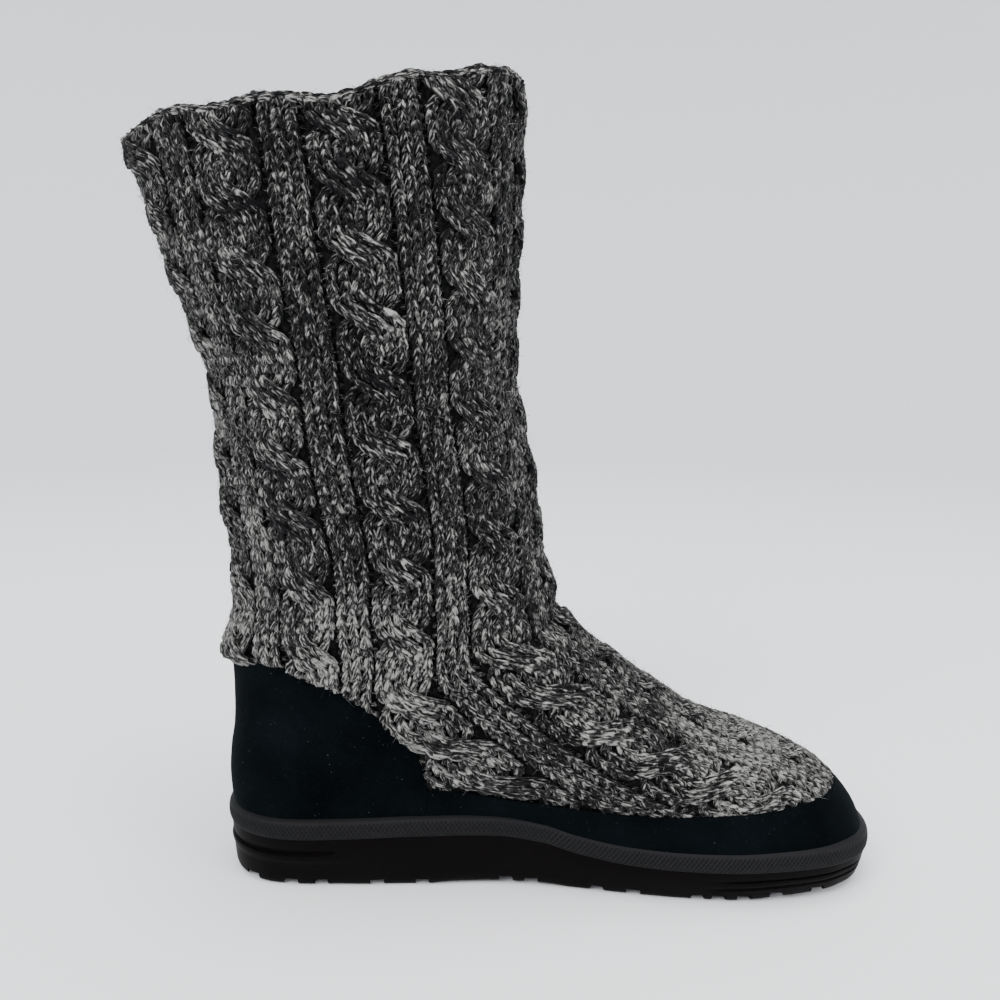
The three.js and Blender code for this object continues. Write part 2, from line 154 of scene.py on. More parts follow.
# the same closed line with its points evenly apart
def evenRing(points, count):
    closed = np.vstack([points, points[:1]])
    steps = np.linalg.norm(np.diff(closed, axis=0), axis=1)
    along = np.concatenate([[0], np.cumsum(steps)])
    wanted = np.linspace(0, along[-1], count, endpoint=False)
    return np.stack([np.interp(wanted, along, closed[:, k]) for k in range(3)], axis=1)


# the rim dips a little where each cable pulls it in, and sags at the inner side and at the back
rimDip = {"depth": 2.2, "from": 0.9, "cables": 9, "outerAt": 15.0, "innerAt": -20.0}
rimSags = [
    {"at": 54.0, "width": 22.0, "depth": 4.0, "innerSideOnly": True},
    {"at": -36.0, "width": 12.0, "depth": 2.6, "innerSideOnly": False},
]


def upperGrid(rises, count):
    turns = np.linspace(0, 1, 4 * count, endpoint=False)
    grid = np.stack([evenRing(upperPoint(rise, turns), count) for rise in rises])
    dip = 0.5 + 0.5 * np.cos(2 * np.pi * rimDip["cables"] * np.arange(count) / count)
    near = smoothStep(rimDip["from"], 1.0, np.asarray(rises))
    grid[:, :, 2] -= rimDip["depth"] * near[:, None] * dip[None]
    for sag in rimSags:
        drop = sag["depth"] * np.exp(-((grid[:, :, 0] - sag["at"]) / sag["width"]) ** 2)
        if sag["innerSideOnly"]:
            drop = drop * smoothStep(rimDip["outerAt"], rimDip["innerAt"], grid[:, :, 1])
        grid[:, :, 2] -= near[:, None] * drop
    return grid


def gridNormals(grid):
    around = np.roll(grid, -1, axis=1) - np.roll(grid, 1, axis=1)
    upward = np.gradient(grid, axis=0)
    normals = np.cross(around, upward)
    return normals / np.linalg.norm(normals, axis=2, keepdims=True)


# upper edge of the suede, above the floor
def suedeEdge(x):
    counter = smoothTable(counterTable, 1, x / soleLength) * boot["counterHeight"]
    rand = smoothTable(randTable, 1, x / soleLength) * boot["randHeight"]
    return np.where(x < counterTable[-1, 0] * soleLength, counter, rand)


surface = {"aroundCount": 720, "riseCount": 380, "lowest": -0.02, "evenShare": 0.45}
rises = np.linspace(0, 1, surface["riseCount"])
rises = surface["evenShare"] * rises + (1 - surface["evenShare"]) * rises ** 2
rises = surface["lowest"] + (1 - surface["lowest"]) * rises
faceGrid = upperGrid(rises, surface["aroundCount"])
faceNormals = gridNormals(faceGrid)
print("upper surface worked out")

# the knit's own rows and columns on that surface
knit = {
    "wales": 99, "repeats": 9, "cableHalf": 3, "rowHeight": 3.9, "waleWidth": 4.1,
    "pivotX": 215.0, "pivotHeight": 165.0, "bendRadius": 92.0, "rowFollow": 0.6, "instep": 0.45,
    "waleStep": 0.25, "rowStep": 0.25, "sectionStep": 0.8, "spreadStart": 32.0, "spreadEnd": 64.0,
    "guideWale": 6,
}
perRepeat = knit["wales"] // knit["repeats"]


# how far down the boot a place is: straight down the leg, round the ankle, then along the foot
def downTheBoot(rise, x):
    bed = bedAt(knit["instep"] * soleLength)
    height = bed + (boot["rimFront"] - bed) * rise
    below = knit["pivotHeight"] - height
    turn = np.arctan2(np.maximum(below, 0), np.maximum(knit["pivotX"] - x, 1e-6))
    bent = knit["bendRadius"] * turn + np.maximum(x - knit["pivotX"], 0)
    return np.where(below < 0, below, bent)


# places and directions on the face, by row and wale: the wales run evenly from the front seamline
def knitGrid():
    down = downTheBoot(rises[:, None], faceGrid[:, :, 0])
    sections = np.arange(down[-1].min(), down[:, 0].max(), knit["sectionStep"])
    count = surface["aroundCount"]
    traced = np.zeros((len(sections), count, 6))
    inside = np.zeros((len(sections), count), bool)
    both = np.concatenate([faceGrid, faceNormals], axis=2)[::-1]
    for i in range(count):
        column = np.maximum.accumulate(down[::-1, i] + 1e-7 * np.arange(len(rises)))
        inside[:, i] = (sections >= column[0] - 0.5) & (sections <= column[-1])
        for k in range(6):
            traced[:, i, k] = np.interp(sections, column, both[:, i, k])
    half = knit["wales"] / 2
    wales = np.arange(-half, half + knit["waleStep"] / 2, knit["waleStep"])
    table = np.zeros((len(sections), len(wales), 6))
    valid = np.zeros((len(sections), len(wales)), bool)
    spread = smoothStep(knit["spreadStart"], knit["spreadEnd"], sections)
    outer = np.arange(0, count // 2 + 1)
    inner = (-outer) % count
    for s in range(len(sections)):
        for side, order in ((1, outer), (-1, inner)):
            line = traced[s, order]
            steps = np.linalg.norm(np.diff(line[:, :3], axis=0), axis=1)
            along = np.concatenate([[0], np.cumsum(steps)])
            pitch = along[-1] / half * (1 - spread[s]) + knit["waleWidth"] * spread[s]
            chosen = wales * side >= 0
            reach = np.abs(wales[chosen]) * pitch
            for k in range(6):
                table[s, chosen, k] = np.interp(reach, along, line[:, k])
            known = np.interp(reach, along, inside[s, order].astype(float))
            valid[s, chosen] = (known > 0.99) & (reach <= along[-1] + 0.5)
    steps = np.linalg.norm(np.diff(table[:, :, :3], axis=0), axis=2)
    steps = np.where(valid[1:] & valid[:-1], steps, knit["sectionStep"])
    length = np.vstack([np.zeros(len(wales)), np.cumsum(steps, axis=0)])
    guide = length[:, np.abs(np.abs(wales) - knit["guideWale"]) < 0.01].mean(axis=1, keepdims=True)
    rows = (knit["rowFollow"] * length + (1 - knit["rowFollow"]) * guide) / knit["rowHeight"]
    rowPlaces = np.arange(0, rows[valid].max(), knit["rowStep"])
    result = np.zeros((len(rowPlaces), len(wales), 7))
    for w in range(len(wales)):
        for k in range(6):
            result[:, w, k] = np.interp(rowPlaces, rows[:, w], table[:, w, k])
        result[:, w, 6] = np.interp(rowPlaces, rows[:, w], valid[:, w].astype(float))
        result[rowPlaces > rows[-1, w], w, 6] = 0
    return wales, rowPlaces, result


wales, rowPlaces, knitTable = knitGrid()
rowCount = int(rowPlaces[-1])
print("knit laid out in", rowCount, "rows")


# the channels draw together, so ribs and cables spread over most of their width
gather = {
    "even": [0, 6, 7, 10, 11], "drawn": [-0.30, 6.30, 6.70, 10.30, 10.70],
    "channels": [-0.5, 6.5, 10.5], "channelHalf": 0.5, "channelFloor": 0.18,
}


def drawnWale(wale):
    place = np.mod(wale + knit["cableHalf"], perRepeat)
    return wale + np.interp(place, gather["even"], gather["drawn"]) - place


# place and outward direction at wale and row, between the table's entries
def onKnit(wale, row):
    half = knit["wales"] / 2
    wale = np.mod(drawnWale(wale) + half, knit["wales"]) - half
    w = np.clip((wale - wales[0]) / knit["waleStep"], 0, len(wales) - 1.001)
    r = np.clip(row / knit["rowStep"], 0, len(rowPlaces) - 1.001)
    w0 = w.astype(int)
    r0 = r.astype(int)
    wt = (w - w0)[..., None]
    rt = (r - r0)[..., None]
    low = knitTable[r0, w0] * (1 - wt) + knitTable[r0, w0 + 1] * wt
    high = knitTable[r0 + 1, w0] * (1 - wt) + knitTable[r0 + 1, w0 + 1] * wt
    mixed = low * (1 - rt) + high * rt
    normal = mixed[..., 3:6]
    normal = normal / np.maximum(np.linalg.norm(normal, axis=-1, keepdims=True), 1e-9)
    return mixed[..., :3], normal, mixed[..., 6]


# from millimetres off the heel's back to the part's own frame
def toFrame(points):
    moved = np.array(points, float)
    moved[..., 0] -= boot["heelRest"]
    return moved * mm


# one mesh from many small triangles
def joinedMesh(name, vertices, triangles, material, tone=None, uv=None):
    mesh = bpy.data.meshes.new(name)
    triangles = np.ascontiguousarray(triangles, dtype=np.int32)
    mesh.vertices.add(len(vertices))
    mesh.vertices.foreach_set("co", np.ascontiguousarray(vertices, dtype=np.float32).ravel())
    mesh.loops.add(triangles.size)
    mesh.loops.foreach_set("vertex_index", triangles.ravel())
    mesh.polygons.add(len(triangles))
    mesh.polygons.foreach_set("loop_start", np.arange(0, triangles.size, 3, dtype=np.int32))
    mesh.update(calc_edges=True)
    if tone is not None:
        layer = mesh.attributes.new("tone", "FLOAT", "POINT")
        layer.data.foreach_set("value", np.ascontiguousarray(tone, dtype=np.float32))
    if uv is not None:
        layer = mesh.uv_layers.new(name="UVMap")
        layer.data.foreach_set("uv", np.ascontiguousarray(uv, dtype=np.float32).ravel())
    mesh.shade_smooth()
    mesh.validate()
    return showPiece(name, mesh, material)


def placeObject(name, data):
    thing = bpy.data.objects.new(name, data)
    bpy.context.scene.collection.objects.link(thing)
    return thing


def meshFrom(name, work):
    mesh = bpy.data.meshes.new(name)
    work.to_mesh(mesh)
    work.free()
    return mesh


def showPiece(name, mesh, material):
    piece = placeObject(name, mesh)
    mesh.materials.append(material)
    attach(piece, "root")
    return piece


# a closed skin over rings of points: the grid is made flat, then every vertex takes its place
def ringPiece(name, rings, material, looped=True, tone=None):
    stack, around = rings.shape[:2]
    work = bmesh.new()
    rows = stack + 1 if looped else stack
    bmesh.ops.create_grid(work, x_segments=around, y_segments=rows - 1, size=1)
    work.verts.ensure_lookup_table()
    places = toFrame(rings)
    layer = work.verts.layers.float.new("tone")
    for index, vert in enumerate(work.verts):
        row, column = divmod(index, around + 1)
        vert.co = places[row % stack, column % around]
        if tone is not None:
            vert[layer] = tone[row % stack, column % around]
    bmesh.ops.remove_doubles(work, verts=work.verts, dist=1e-7)
    if not looped:
        bmesh.ops.holes_fill(work, edges=[e for e in work.edges if e.is_boundary], sides=0)
    bmesh.ops.recalc_face_normals(work, faces=work.faces)
    mesh = meshFrom(name, work)
    mesh.shade_smooth()
    return showPiece(name, mesh, material)


# materials
def newMaterial(name, roughness, specular=0.5):
    material = bpy.data.materials.new(name)
    material.use_nodes = True
    shader = material.node_tree.nodes["Principled BSDF"]
    shader.inputs["Roughness"].default_value = roughness
    shader.inputs["Specular IOR Level"].default_value = specular
    return material, material.node_tree, shader


def addNode(tree, kind, **settings):
    node = tree.nodes.new(kind)
    for key, value in settings.items():
        if key in node.inputs:
            node.inputs[key].default_value = value
        else:
            setattr(node, key, value)
    return node


def mathNode(tree, operation, *values):
    node = addNode(tree, "ShaderNodeMath", operation=operation)
    for socket, value in zip(node.inputs, values):
        if isinstance(value, float):
            socket.default_value = value
        else:
            tree.links.new(value, socket)
    return node.outputs["Value"]


def objectNoise(tree, scale, detail=3.0):
    coordinates = addNode(tree, "ShaderNodeTexCoord")
    noise = addNode(tree, "ShaderNodeTexNoise", Scale=scale, Detail=detail)
    tree.links.new(coordinates.outputs["Object"], noise.inputs["Vector"])
    return noise


def colourRamp(tree, source, stops):
    ramp = addNode(tree, "ShaderNodeValToRGB")
    elements = ramp.color_ramp.elements
    while len(elements) < len(stops):
        elements.new(0.5)
    for element, (place, colour) in zip(elements, stops):
        element.position = place
        element.color = (*colour, 1)
    tree.links.new(source, ramp.inputs["Fac"])
    return ramp


def mixColours(tree, factor, first, second):
    mix = addNode(tree, "ShaderNodeMix", data_type="RGBA")
    tree.links.new(factor, mix.inputs[0])
    tree.links.new(first, mix.inputs[6])
    tree.links.new(second, mix.inputs[7])
    return mix.outputs[2]


def addBump(tree, shader, heights, strength, distance):
    bump = addNode(tree, "ShaderNodeBump", Strength=strength, Distance=distance)
    tree.links.new(heights, bump.inputs["Height"])
    tree.links.new(bump.outputs["Normal"], shader.inputs["Normal"])


yarnLook = {
    "black": (0.0012, 0.0012, 0.0016), "charcoal": (0.0065, 0.0064, 0.0068),
    "grey": (0.036, 0.035, 0.034), "pale": (0.125, 0.122, 0.116), "light": (0.25, 0.245, 0.23),
    "streaksAlong": 2.1, "streaksAround": 9.5, "twist": 1.2, "streakContrast": 2.3,
    "marlContrast": 0.8, "marlScale": 520.0,
}


# streaks of dark and light fibre that wind along the yarn
def yarnMaterial():
    material, tree, shader = newMaterial("marledYarn", 0.95, 0.05)
    shader.inputs["Sheen Weight"].default_value = 0.03
    shader.inputs["Sheen Roughness"].default_value = 0.6
    tone = addNode(tree, "ShaderNodeAttribute", attribute_name="tone")
    uvMap = addNode(tree, "ShaderNodeUVMap", uv_map="UVMap")
    parts = addNode(tree, "ShaderNodeSeparateXYZ")
    tree.links.new(uvMap.outputs["UV"], parts.inputs["Vector"])
    winding = yarnLook["twist"] / yarnLook["streaksAround"]
    wound = mathNode(tree, "MULTIPLY_ADD", parts.outputs["X"], winding, parts.outputs["Y"])
    place = addNode(tree, "ShaderNodeCombineXYZ")
    tree.links.new(parts.outputs["X"], place.inputs["X"])
    tree.links.new(wound, place.inputs["Y"])
    stretch = addNode(tree, "ShaderNodeMapping")
    stretch.inputs["Scale"].default_value = (yarnLook["streaksAlong"], yarnLook["streaksAround"], 1)
    tree.links.new(place.outputs["Vector"], stretch.inputs["Vector"])
    streaks = addNode(tree, "ShaderNodeTexNoise", Scale=1.0, Detail=2.0)
    tree.links.new(stretch.outputs["Vector"], streaks.inputs["Vector"])
    marl = objectNoise(tree, yarnLook["marlScale"], 1.0)
    contrast = yarnLook["streakContrast"]
    base = 0.5 - 0.5 * (contrast + yarnLook["marlContrast"])
    mixed = mathNode(tree, "MULTIPLY_ADD", streaks.outputs["Fac"], contrast, base)
    mixed = mathNode(tree, "MULTIPLY_ADD", marl.outputs["Fac"], yarnLook["marlContrast"], mixed)
    mixed = mathNode(tree, "ADD", mixed, tone.outputs["Fac"])
    ramp = colourRamp(tree, mixed, [
        (0.15, yarnLook["black"]), (0.40, yarnLook["charcoal"]), (0.56, yarnLook["grey"]),
        (0.72, yarnLook["pale"]), (0.92, yarnLook["light"])])
    tree.links.new(ramp.outputs["Color"], shader.inputs["Base Color"])
    addBump(tree, shader, streaks.outputs["Fac"], 0.8, 0.0006)
    return material


hairLook = {"dark": (0.004, 0.004, 0.005), "grey": (0.050, 0.049, 0.047), "pale": (0.27, 0.265, 0.25)}


def hairMaterial():
    material, tree, shader = newMaterial("looseFibre", 0.9, 0.15)
    tone = addNode(tree, "ShaderNodeAttribute", attribute_name="tone")
    ramp = colourRamp(tree, tone.outputs["Fac"], [
        (0.0, hairLook["dark"]), (0.5, hairLook["grey"]), (1.0, hairLook["pale"])])
    tree.links.new(ramp.outputs["Color"], shader.inputs["Base Color"])
    return material


backingLook = {
    "black": (0.0012, 0.0012, 0.0016), "gapShadeGrey": (0.008, 0.008, 0.008),
    "liningDark": (0.010, 0.010, 0.0105), "liningPale": (0.050, 0.049, 0.047),
}


# painted shade behind the stitches, near black, which shows in the gaps between them; brushed fleece where
# the tone says it is the inner side
def backingMaterial():
    material, tree, shader = newMaterial("knitGapShadeAndLining", 0.95, 0.05)
    noise = objectNoise(tree, 600, 4.0)
    # near-black painted shade for the gaps between the stitches
    behind = colourRamp(tree, noise.outputs["Fac"], [
        (0.3, backingLook["black"]), (0.7, backingLook["gapShadeGrey"])])
    fleece = colourRamp(tree, noise.outputs["Fac"], [
        (0.35, backingLook["liningDark"]), (0.68, backingLook["liningPale"])])
    side = addNode(tree, "ShaderNodeAttribute", attribute_name="tone")
    mix = mixColours(tree, side.outputs["Fac"], behind.outputs["Color"], fleece.outputs["Color"])
    tree.links.new(mix, shader.inputs["Base Color"])
    addBump(tree, shader, noise.outputs["Fac"], 0.9, 0.0010)
    return material


suedeLook = {
    "dark": (0.0006, 0.0011, 0.0015), "nap": (0.0024, 0.0038, 0.0046), "lint": (0.06, 0.07, 0.07),
    "sheen": (0.6, 0.75, 0.8, 1), "lintFrom": 0.84, "lintFull": 0.90,
}


def suedeMaterial():
    material, tree, shader = newMaterial("blackSuede", 0.95, 0.012)
    shader.inputs["Sheen Weight"].default_value = 0.02
    shader.inputs["Sheen Roughness"].default_value = 0.5
    shader.inputs["Sheen Tint"].default_value = suedeLook["sheen"]
    broad = objectNoise(tree, 28, 4.0)
    fine = objectNoise(tree, 2600, 2.0)
    ramp = colourRamp(tree, broad.outputs["Fac"], [(0.35, suedeLook["dark"]), (0.7, suedeLook["nap"])])
    lintNoise = objectNoise(tree, 1500, 0.0)
    lint = addNode(tree, "ShaderNodeMapRange")
    lint.inputs["From Min"].default_value = suedeLook["lintFrom"]
    lint.inputs["From Max"].default_value = suedeLook["lintFull"]
    tree.links.new(lintNoise.outputs["Fac"], lint.inputs["Value"])
    speck = addNode(tree, "ShaderNodeRGB")
    speck.outputs[0].default_value = (*suedeLook["lint"], 1)
    mix = mixColours(tree, lint.outputs["Result"], ramp.outputs["Color"], speck.outputs[0])
    tree.links.new(mix, shader.inputs["Base Color"])
    addBump(tree, shader, fine.outputs["Fac"], 0.5, 0.0003)
    return material


rubberLooks = {
    "bandRubber": {
        "dark": (0.0054, 0.0054, 0.0058), "light": (0.0084, 0.0084, 0.0090),
        "roughness": 0.6, "specular": 0.10, "grain": 1800,
    },
    "soleRubber": {
        "dark": (0.0010, 0.0006, 0.0007), "light": (0.0015, 0.0010, 0.0010),
        "roughness": 0.5, "specular": 0.035, "grain": 1500,
    },
    # painted shade for the band's pits
    "pitShade": {"dark": (0.0006, 0.0006, 0.0006), "light": (0.001, 0.001, 0.001)},
}


# moulded rubber, with painted shade where the tone says there is a pit
def rubberMaterial(name):
    look = rubberLooks[name]
    pit = rubberLooks["pitShade"]
    material, tree, shader = newMaterial(name, look["roughness"], look["specular"])
    broad = objectNoise(tree, 18, 3.0)
    fine = objectNoise(tree, look["grain"], 3.0)
    ramp = colourRamp(tree, broad.outputs["Fac"], [(0.3, look["dark"]), (0.75, look["light"])])
    pitShade = addNode(tree, "ShaderNodeAttribute", attribute_name="tone")
    darker = colourRamp(tree, broad.outputs["Fac"], [(0.3, pit["dark"]), (0.75, pit["light"])])
    mix = mixColours(tree, pitShade.outputs["Fac"], ramp.outputs["Color"], darker.outputs["Color"])
    tree.links.new(mix, shader.inputs["Base Color"])
    addBump(tree, shader, fine.outputs["Fac"], 0.25, 0.0002)
    return material


footbedLook = {"dark": (0.18, 0.17, 0.16), "light": (0.42, 0.40, 0.38)}


def fleeceMaterial():
    material, tree, shader = newMaterial("footbedFleece", 0.95, 0.2)
    shader.inputs["Sheen Weight"].default_value = 0.3
    tufts = objectNoise(tree, 420, 5.0)
    ramp = colourRamp(tree, tufts.outputs["Fac"], [(0.3, footbedLook["dark"]), (0.7, footbedLook["light"])])
    tree.links.new(ramp.outputs["Color"], shader.inputs["Base Color"])
    addBump(tree, shader, tufts.outputs["Fac"], 1.0, 0.0015)
    return material


yarn = yarnMaterial()
looseFibre = hairMaterial()
backing = backingMaterial()
suede = suedeMaterial()
bandRubber = rubberMaterial("bandRubber")
soleRubber = rubberMaterial("soleRubber")
footbedFleece = fleeceMaterial()
print("materials made")

# shell behind the stitches, painted near black as shade in the gaps, with the lining on its inner side
shell = {
    "around": 396, "outerStack": 90, "innerStack": 34, "behindKnit": 1.95, "behindChannel": 3.6,
    "behindSuede": 4.6, "inside": 6.5, "rimRound": 2.0, "lowest": 0.004, "span": 0.985,
}

# the knit is stretched flatter over the foot, and near the rand ahead of the counter's seam
flatten = {"from": 95.0, "to": 185.0, "share": 0.55, "edge": 9.0, "seamFrom": 80.0, "seamTo": 88.0}


def reliefAt(x, z):
    stretched = 1 - flatten["share"] * smoothStep(flatten["from"], flatten["to"], x)
    nearRand = smoothStep(-1.0, flatten["edge"], z - suedeEdge(x))
    return stretched * (1 - (1 - nearRand) * smoothStep(flatten["seamFrom"], flatten["seamTo"], x))


# how much a wale lies in a channel between ribs and cables
def channelShare(wale):
    place = np.mod(wale + knit["cableHalf"], perRepeat)
    away = np.min([np.abs(place - middle) for middle in gather["channels"]], axis=0)
    return 1 - smoothStep(gather["channelFloor"], gather["channelHalf"], away)


# the wale that lies nearest to each point
def walesNear(points):
    known = np.argwhere(knitTable[:, :, 6] > 0.5)
    known = known[known[:, 0] % 3 == 0]
    tree = kdtree.KDTree(len(known))
    for index, (r, w) in enumerate(known):
        tree.insert(knitTable[r, w, :3], index)
    tree.balance()
    return np.array([wales[known[tree.find(point)[1], 1]] for point in points])


def makeShell():
    levels = [np.linspace(0, 1, shell[key]) for key in ("outerStack", "innerStack")]
    levels = [shell["lowest"] + shell["span"] * (0.5 * level + 0.5 * level ** 2) for level in levels]
    outerGrid, innerGrid = [upperGrid(level, shell["around"]) for level in levels]
    wale = walesNear(outerGrid.reshape(-1, 3)).reshape(outerGrid.shape[:2])
    channel = channelShare(wale) * reliefAt(outerGrid[:, :, 0], outerGrid[:, :, 2])
    depth = shell["behindKnit"] + (shell["behindChannel"] - shell["behindKnit"]) * channel
    under = smoothStep(3.0, -1.0, outerGrid[:, :, 2] - suedeEdge(outerGrid[:, :, 0]))
    depth = depth + (shell["behindSuede"] - depth) * under
    outside = outerGrid - gridNormals(outerGrid) * depth[..., None]
    inside = innerGrid - gridNormals(innerGrid) * shell["inside"]
    rim = []
    for share in (0.25, 0.5, 0.75):
        ring = outside[-1] * (1 - share) + inside[-1] * share
        ring[:, 2] += shell["rimRound"] * math.sin(math.pi * share)
        rim.append(ring)
    rings = np.concatenate([outside, np.stack(rim), inside[::-1]])
    inner = np.zeros(rings.shape[:2])
    inner[len(outside) + 1:] = 1
    piece = ringPiece("knit_shell", rings, backing, tone=inner)
    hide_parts("upper")


makeShell()
print("shell made")

# stitches: legs in pairs on the ribs and cables, sunken bars in the channels
stitch = {
    "crossRows": 3.9, "cycleRows": 6.0, "follow": 0.42, "sides": 4, "rings": 4, "pieces": 4,
    "legHalfWidth": 1.34, "legHalfDepth": 1.25, "seat": 1.35, "ribCrown": 0.6, "cableCrown": 1.0,
    "crownReach": 3.4, "crossHeight": 1.25, "crossDip": -1.0, "crossPinch": 0.08,
    "channelDepth": 1.7, "crossWiden": 0.14, "toneSpread": 0.09, "patchSpread": 0.26,
    "barPaintedShade": -0.13, "underPaintedShade": -0.10, "rowStray": 0.06, "sideStray": 0.035,
    "heightStray": 0.12, "thinnest": 0.88, "thickest": 1.1, "marginAtSuede": -5.5,
    "hemBulge": 1.3, "tuck": 4.6, "randMeet": 0.7, "underRand": 2.0,
}


# short closed tubes along rows of centres, with their faces and the yarn's own UV map
def tubePieces(centres, normals, halfWidth, halfDepth):
    count, rings, _ = centres.shape
    sides = stitch["sides"]
    tangent = np.gradient(centres, axis=1)
    tangent /= np.maximum(np.linalg.norm(tangent, axis=2, keepdims=True), 1e-9)
    across = np.cross(tangent, normals)
    across /= np.maximum(np.linalg.norm(across, axis=2, keepdims=True), 1e-9)
    upward = np.cross(across, tangent)
    angles = 2 * np.pi * (np.arange(sides) + 0.5) / sides
    cosines = np.cos(angles)[None, None, :, None]
    sines = np.sin(angles)[None, None, :, None]
    width = np.broadcast_to(halfWidth, (count, rings))[:, :, None, None]
    depth = np.broadcast_to(halfDepth, (count, rings))[:, :, None, None]
    body = centres[:, :, None] + across[:, :, None] * cosines * width
    body = body + upward[:, :, None] * sines * depth
    vertices = body.reshape(count, rings * sides, 3)
    faces = []
    faceUv = []
    for r in range(rings - 1):
        for k in range(sides):
            j = (k + 1) % sides
            a, b = r * sides + k, r * sides + j
            c, d = (r + 1) * sides + j, (r + 1) * sides + k
            low, high = r / (rings - 1), (r + 1) / (rings - 1)
            left, right = k / sides, (k + 1) / sides
            faces += [(a, b, c), (a, c, d)]
            faceUv += [((low, left), (low, right), (high, right))]
            faceUv += [((low, left), (high, right), (high, left))]
    far = (rings - 1) * sides
    for k in range(1, sides - 1):
        faces += [(0, k + 1, k), (far, far + k, far + k + 1)]
        faceUv += [((0, 0), (0, 0.1), (0, 0.1)), ((1, 0), (1, 0.1), (1, 0.1))]
    template = np.array(faces)
    perPiece = rings * sides
    triangles = template[None] + (np.arange(count) * perPiece)[:, None, None]
    uv = np.broadcast_to(np.array(faceUv)[None], (count, len(faces), 3, 2)).copy()
    uv[..., 0] += np.arange(count)[:, None, None] * 1.37
    return vertices.reshape(-1, 3), triangles.reshape(-1, 3), uv.reshape(-1, 2), perPiece


# how far a cable's stitch is carried over or under its neighbours: wales aside, height, share under
def cableMove(place, row, rowCentre, phaseShift):
    over = place < 0
    phase = np.mod(rowCentre - phaseShift, stitch["cycleRows"]) + row - rowCentre
    share = np.clip((phase - stitch["follow"] * (abs(place) - 0.5)) / stitch["crossRows"], 0, 1)
    slide = smoothStep(0, 1, share)
    arch = np.sin(np.pi * share)
    moved = place + knit["cableHalf"] * slide * (1 if over else -1)
    crown = stitch["cableCrown"] * (1 - (moved / stitch["crownReach"]) ** 2)
    height = crown + arch * (stitch["crossHeight"] if over else stitch["crossDip"])
    moved = moved * (1 - stitch["crossPinch"] * arch)
    return moved - place, height, arch * (0 if over else 1)


# the main creases in side view, from the back of the heel and from the floor
creases = [
    {"line": [(84, 66), (96, 80), (112, 92), (130, 104), (146, 120)], "depth": 1.7, "width": 3.2},
    {"line": [(60, 104), (74, 100), (88, 92)], "depth": 1.1, "width": 3.5},
    {"line": [(150, 84), (166, 76), (182, 66)], "depth": 0.8, "width": 4.0},
]


def creaseDepth(x, z):
    total = np.zeros(np.shape(x))
    for crease in creases:
        nearest = np.full(np.shape(x), 1e9)
        for (x0, z0), (x1, z1) in zip(crease["line"], crease["line"][1:]):
            length = (x1 - x0) ** 2 + (z1 - z0) ** 2
            t = np.clip(((x - x0) * (x1 - x0) + (z - z0) * (z1 - z0)) / length, 0, 1)
            away = np.hypot(x - x0 - t * (x1 - x0), z - z0 - t * (z1 - z0))
            nearest = np.minimum(nearest, away)
        fold = np.exp(-(nearest / crease["width"]) ** 2) - 0.45 * np.exp(-((nearest - 7) / 4) ** 2)
        total = total + crease["depth"] * fold
    return total


# the counter lies under the knit's hem, the rand nearly flush with the knit
suedePiece = {
    "around": 420, "stack": 46, "counterDepth": 2.7, "randDepth": 1.5, "from": 90.0, "to": 150.0,
    "thickness": 1.5, "lowRise": -0.01, "topRise": 0.36, "pastHeel": -45.0, "pastToe": 300.0,
    "cutterHalf": 80.0,
}


def suedeDepth(x):
    share = smoothStep(suedePiece["from"], suedePiece["to"], x)
    return suedePiece["counterDepth"] + (suedePiece["randDepth"] - suedePiece["counterDepth"]) * share


# height of the knit near the suede: a rolled hem over the counter, tucked under along the rand
def edgeHeight(point):
    above = point[..., 2] - suedeEdge(point[..., 0])
    hem = smoothStep(flatten["seamTo"], flatten["seamFrom"], point[..., 0])
    roll = stitch["hemBulge"] * smoothStep(-2.5, 2.0, above) * smoothStep(12, 4, above)
    tuckHem = stitch["tuck"] * smoothStep(0.8, -3.2, above)
    meet = (suedeDepth(point[..., 0]) + stitch["randMeet"]) * smoothStep(5.0, 0.2, above)
    tuckRand = meet + stitch["underRand"] * smoothStep(0.2, -3.0, above)
    return hem * (roll - tuckHem) - (1 - hem) * tuckRand


toneShares = {
    "ankle": 0.105, "toe": 0.14, "back": 0.035, "low": 0.05, "high": -0.045, "everywhere": -0.05,
}


# lighter yarn at the ankle, toward the toe, along the upper back and low on the leg; darker high on the leg
# and a little everywhere
def placeTone(point):
    ankle = smoothStep(160, 110, point[..., 2]) * smoothStep(120, 70, point[..., 0])
    toe = smoothStep(150, 225, point[..., 0])
    back = smoothStep(40, 0, point[..., 0]) * smoothStep(60, 140, point[..., 2])
    low = smoothStep(180, 100, point[..., 2])
    high = smoothStep(200, 270, point[..., 2])
    tone = toneShares["ankle"] * ankle + toneShares["toe"] * toe + toneShares["back"] * back
    return tone + toneShares["low"] * low + toneShares["high"] * high + toneShares["everywhere"]


# whether a stitch shows: on the face, and not far under the suede
def liveAt(wale, row, margin):
    point, _, valid = onKnit(wale, row)
    above = point[..., 2] - suedeEdge(point[..., 0]) > margin
    return above & (valid > 0.98)


patches = {"down": 26, "around": 34}


# broad lighter and darker patches of the yarn, in wales and rows
def patchTone(wale, row, random):
    grid = random.random((patches["down"], patches["around"]))
    turn = (wale + 50) / (knit["wales"] + 2)
    w = turn * (patches["around"] - 3) % (patches["around"] - 2)
    r = np.clip(row / rowCount, 0, 0.999) * (patches["down"] - 3)
    w0, r0 = w.astype(int), r.astype(int)
    wt, rt = smoothStep(0, 1, w - w0), smoothStep(0, 1, r - r0)
    low = grid[r0, w0] * (1 - wt) + grid[r0, w0 + 1] * wt
    high = grid[r0 + 1, w0] * (1 - wt) + grid[r0 + 1, w0 + 1] * wt
    return low * (1 - rt) + high * rt - 0.5


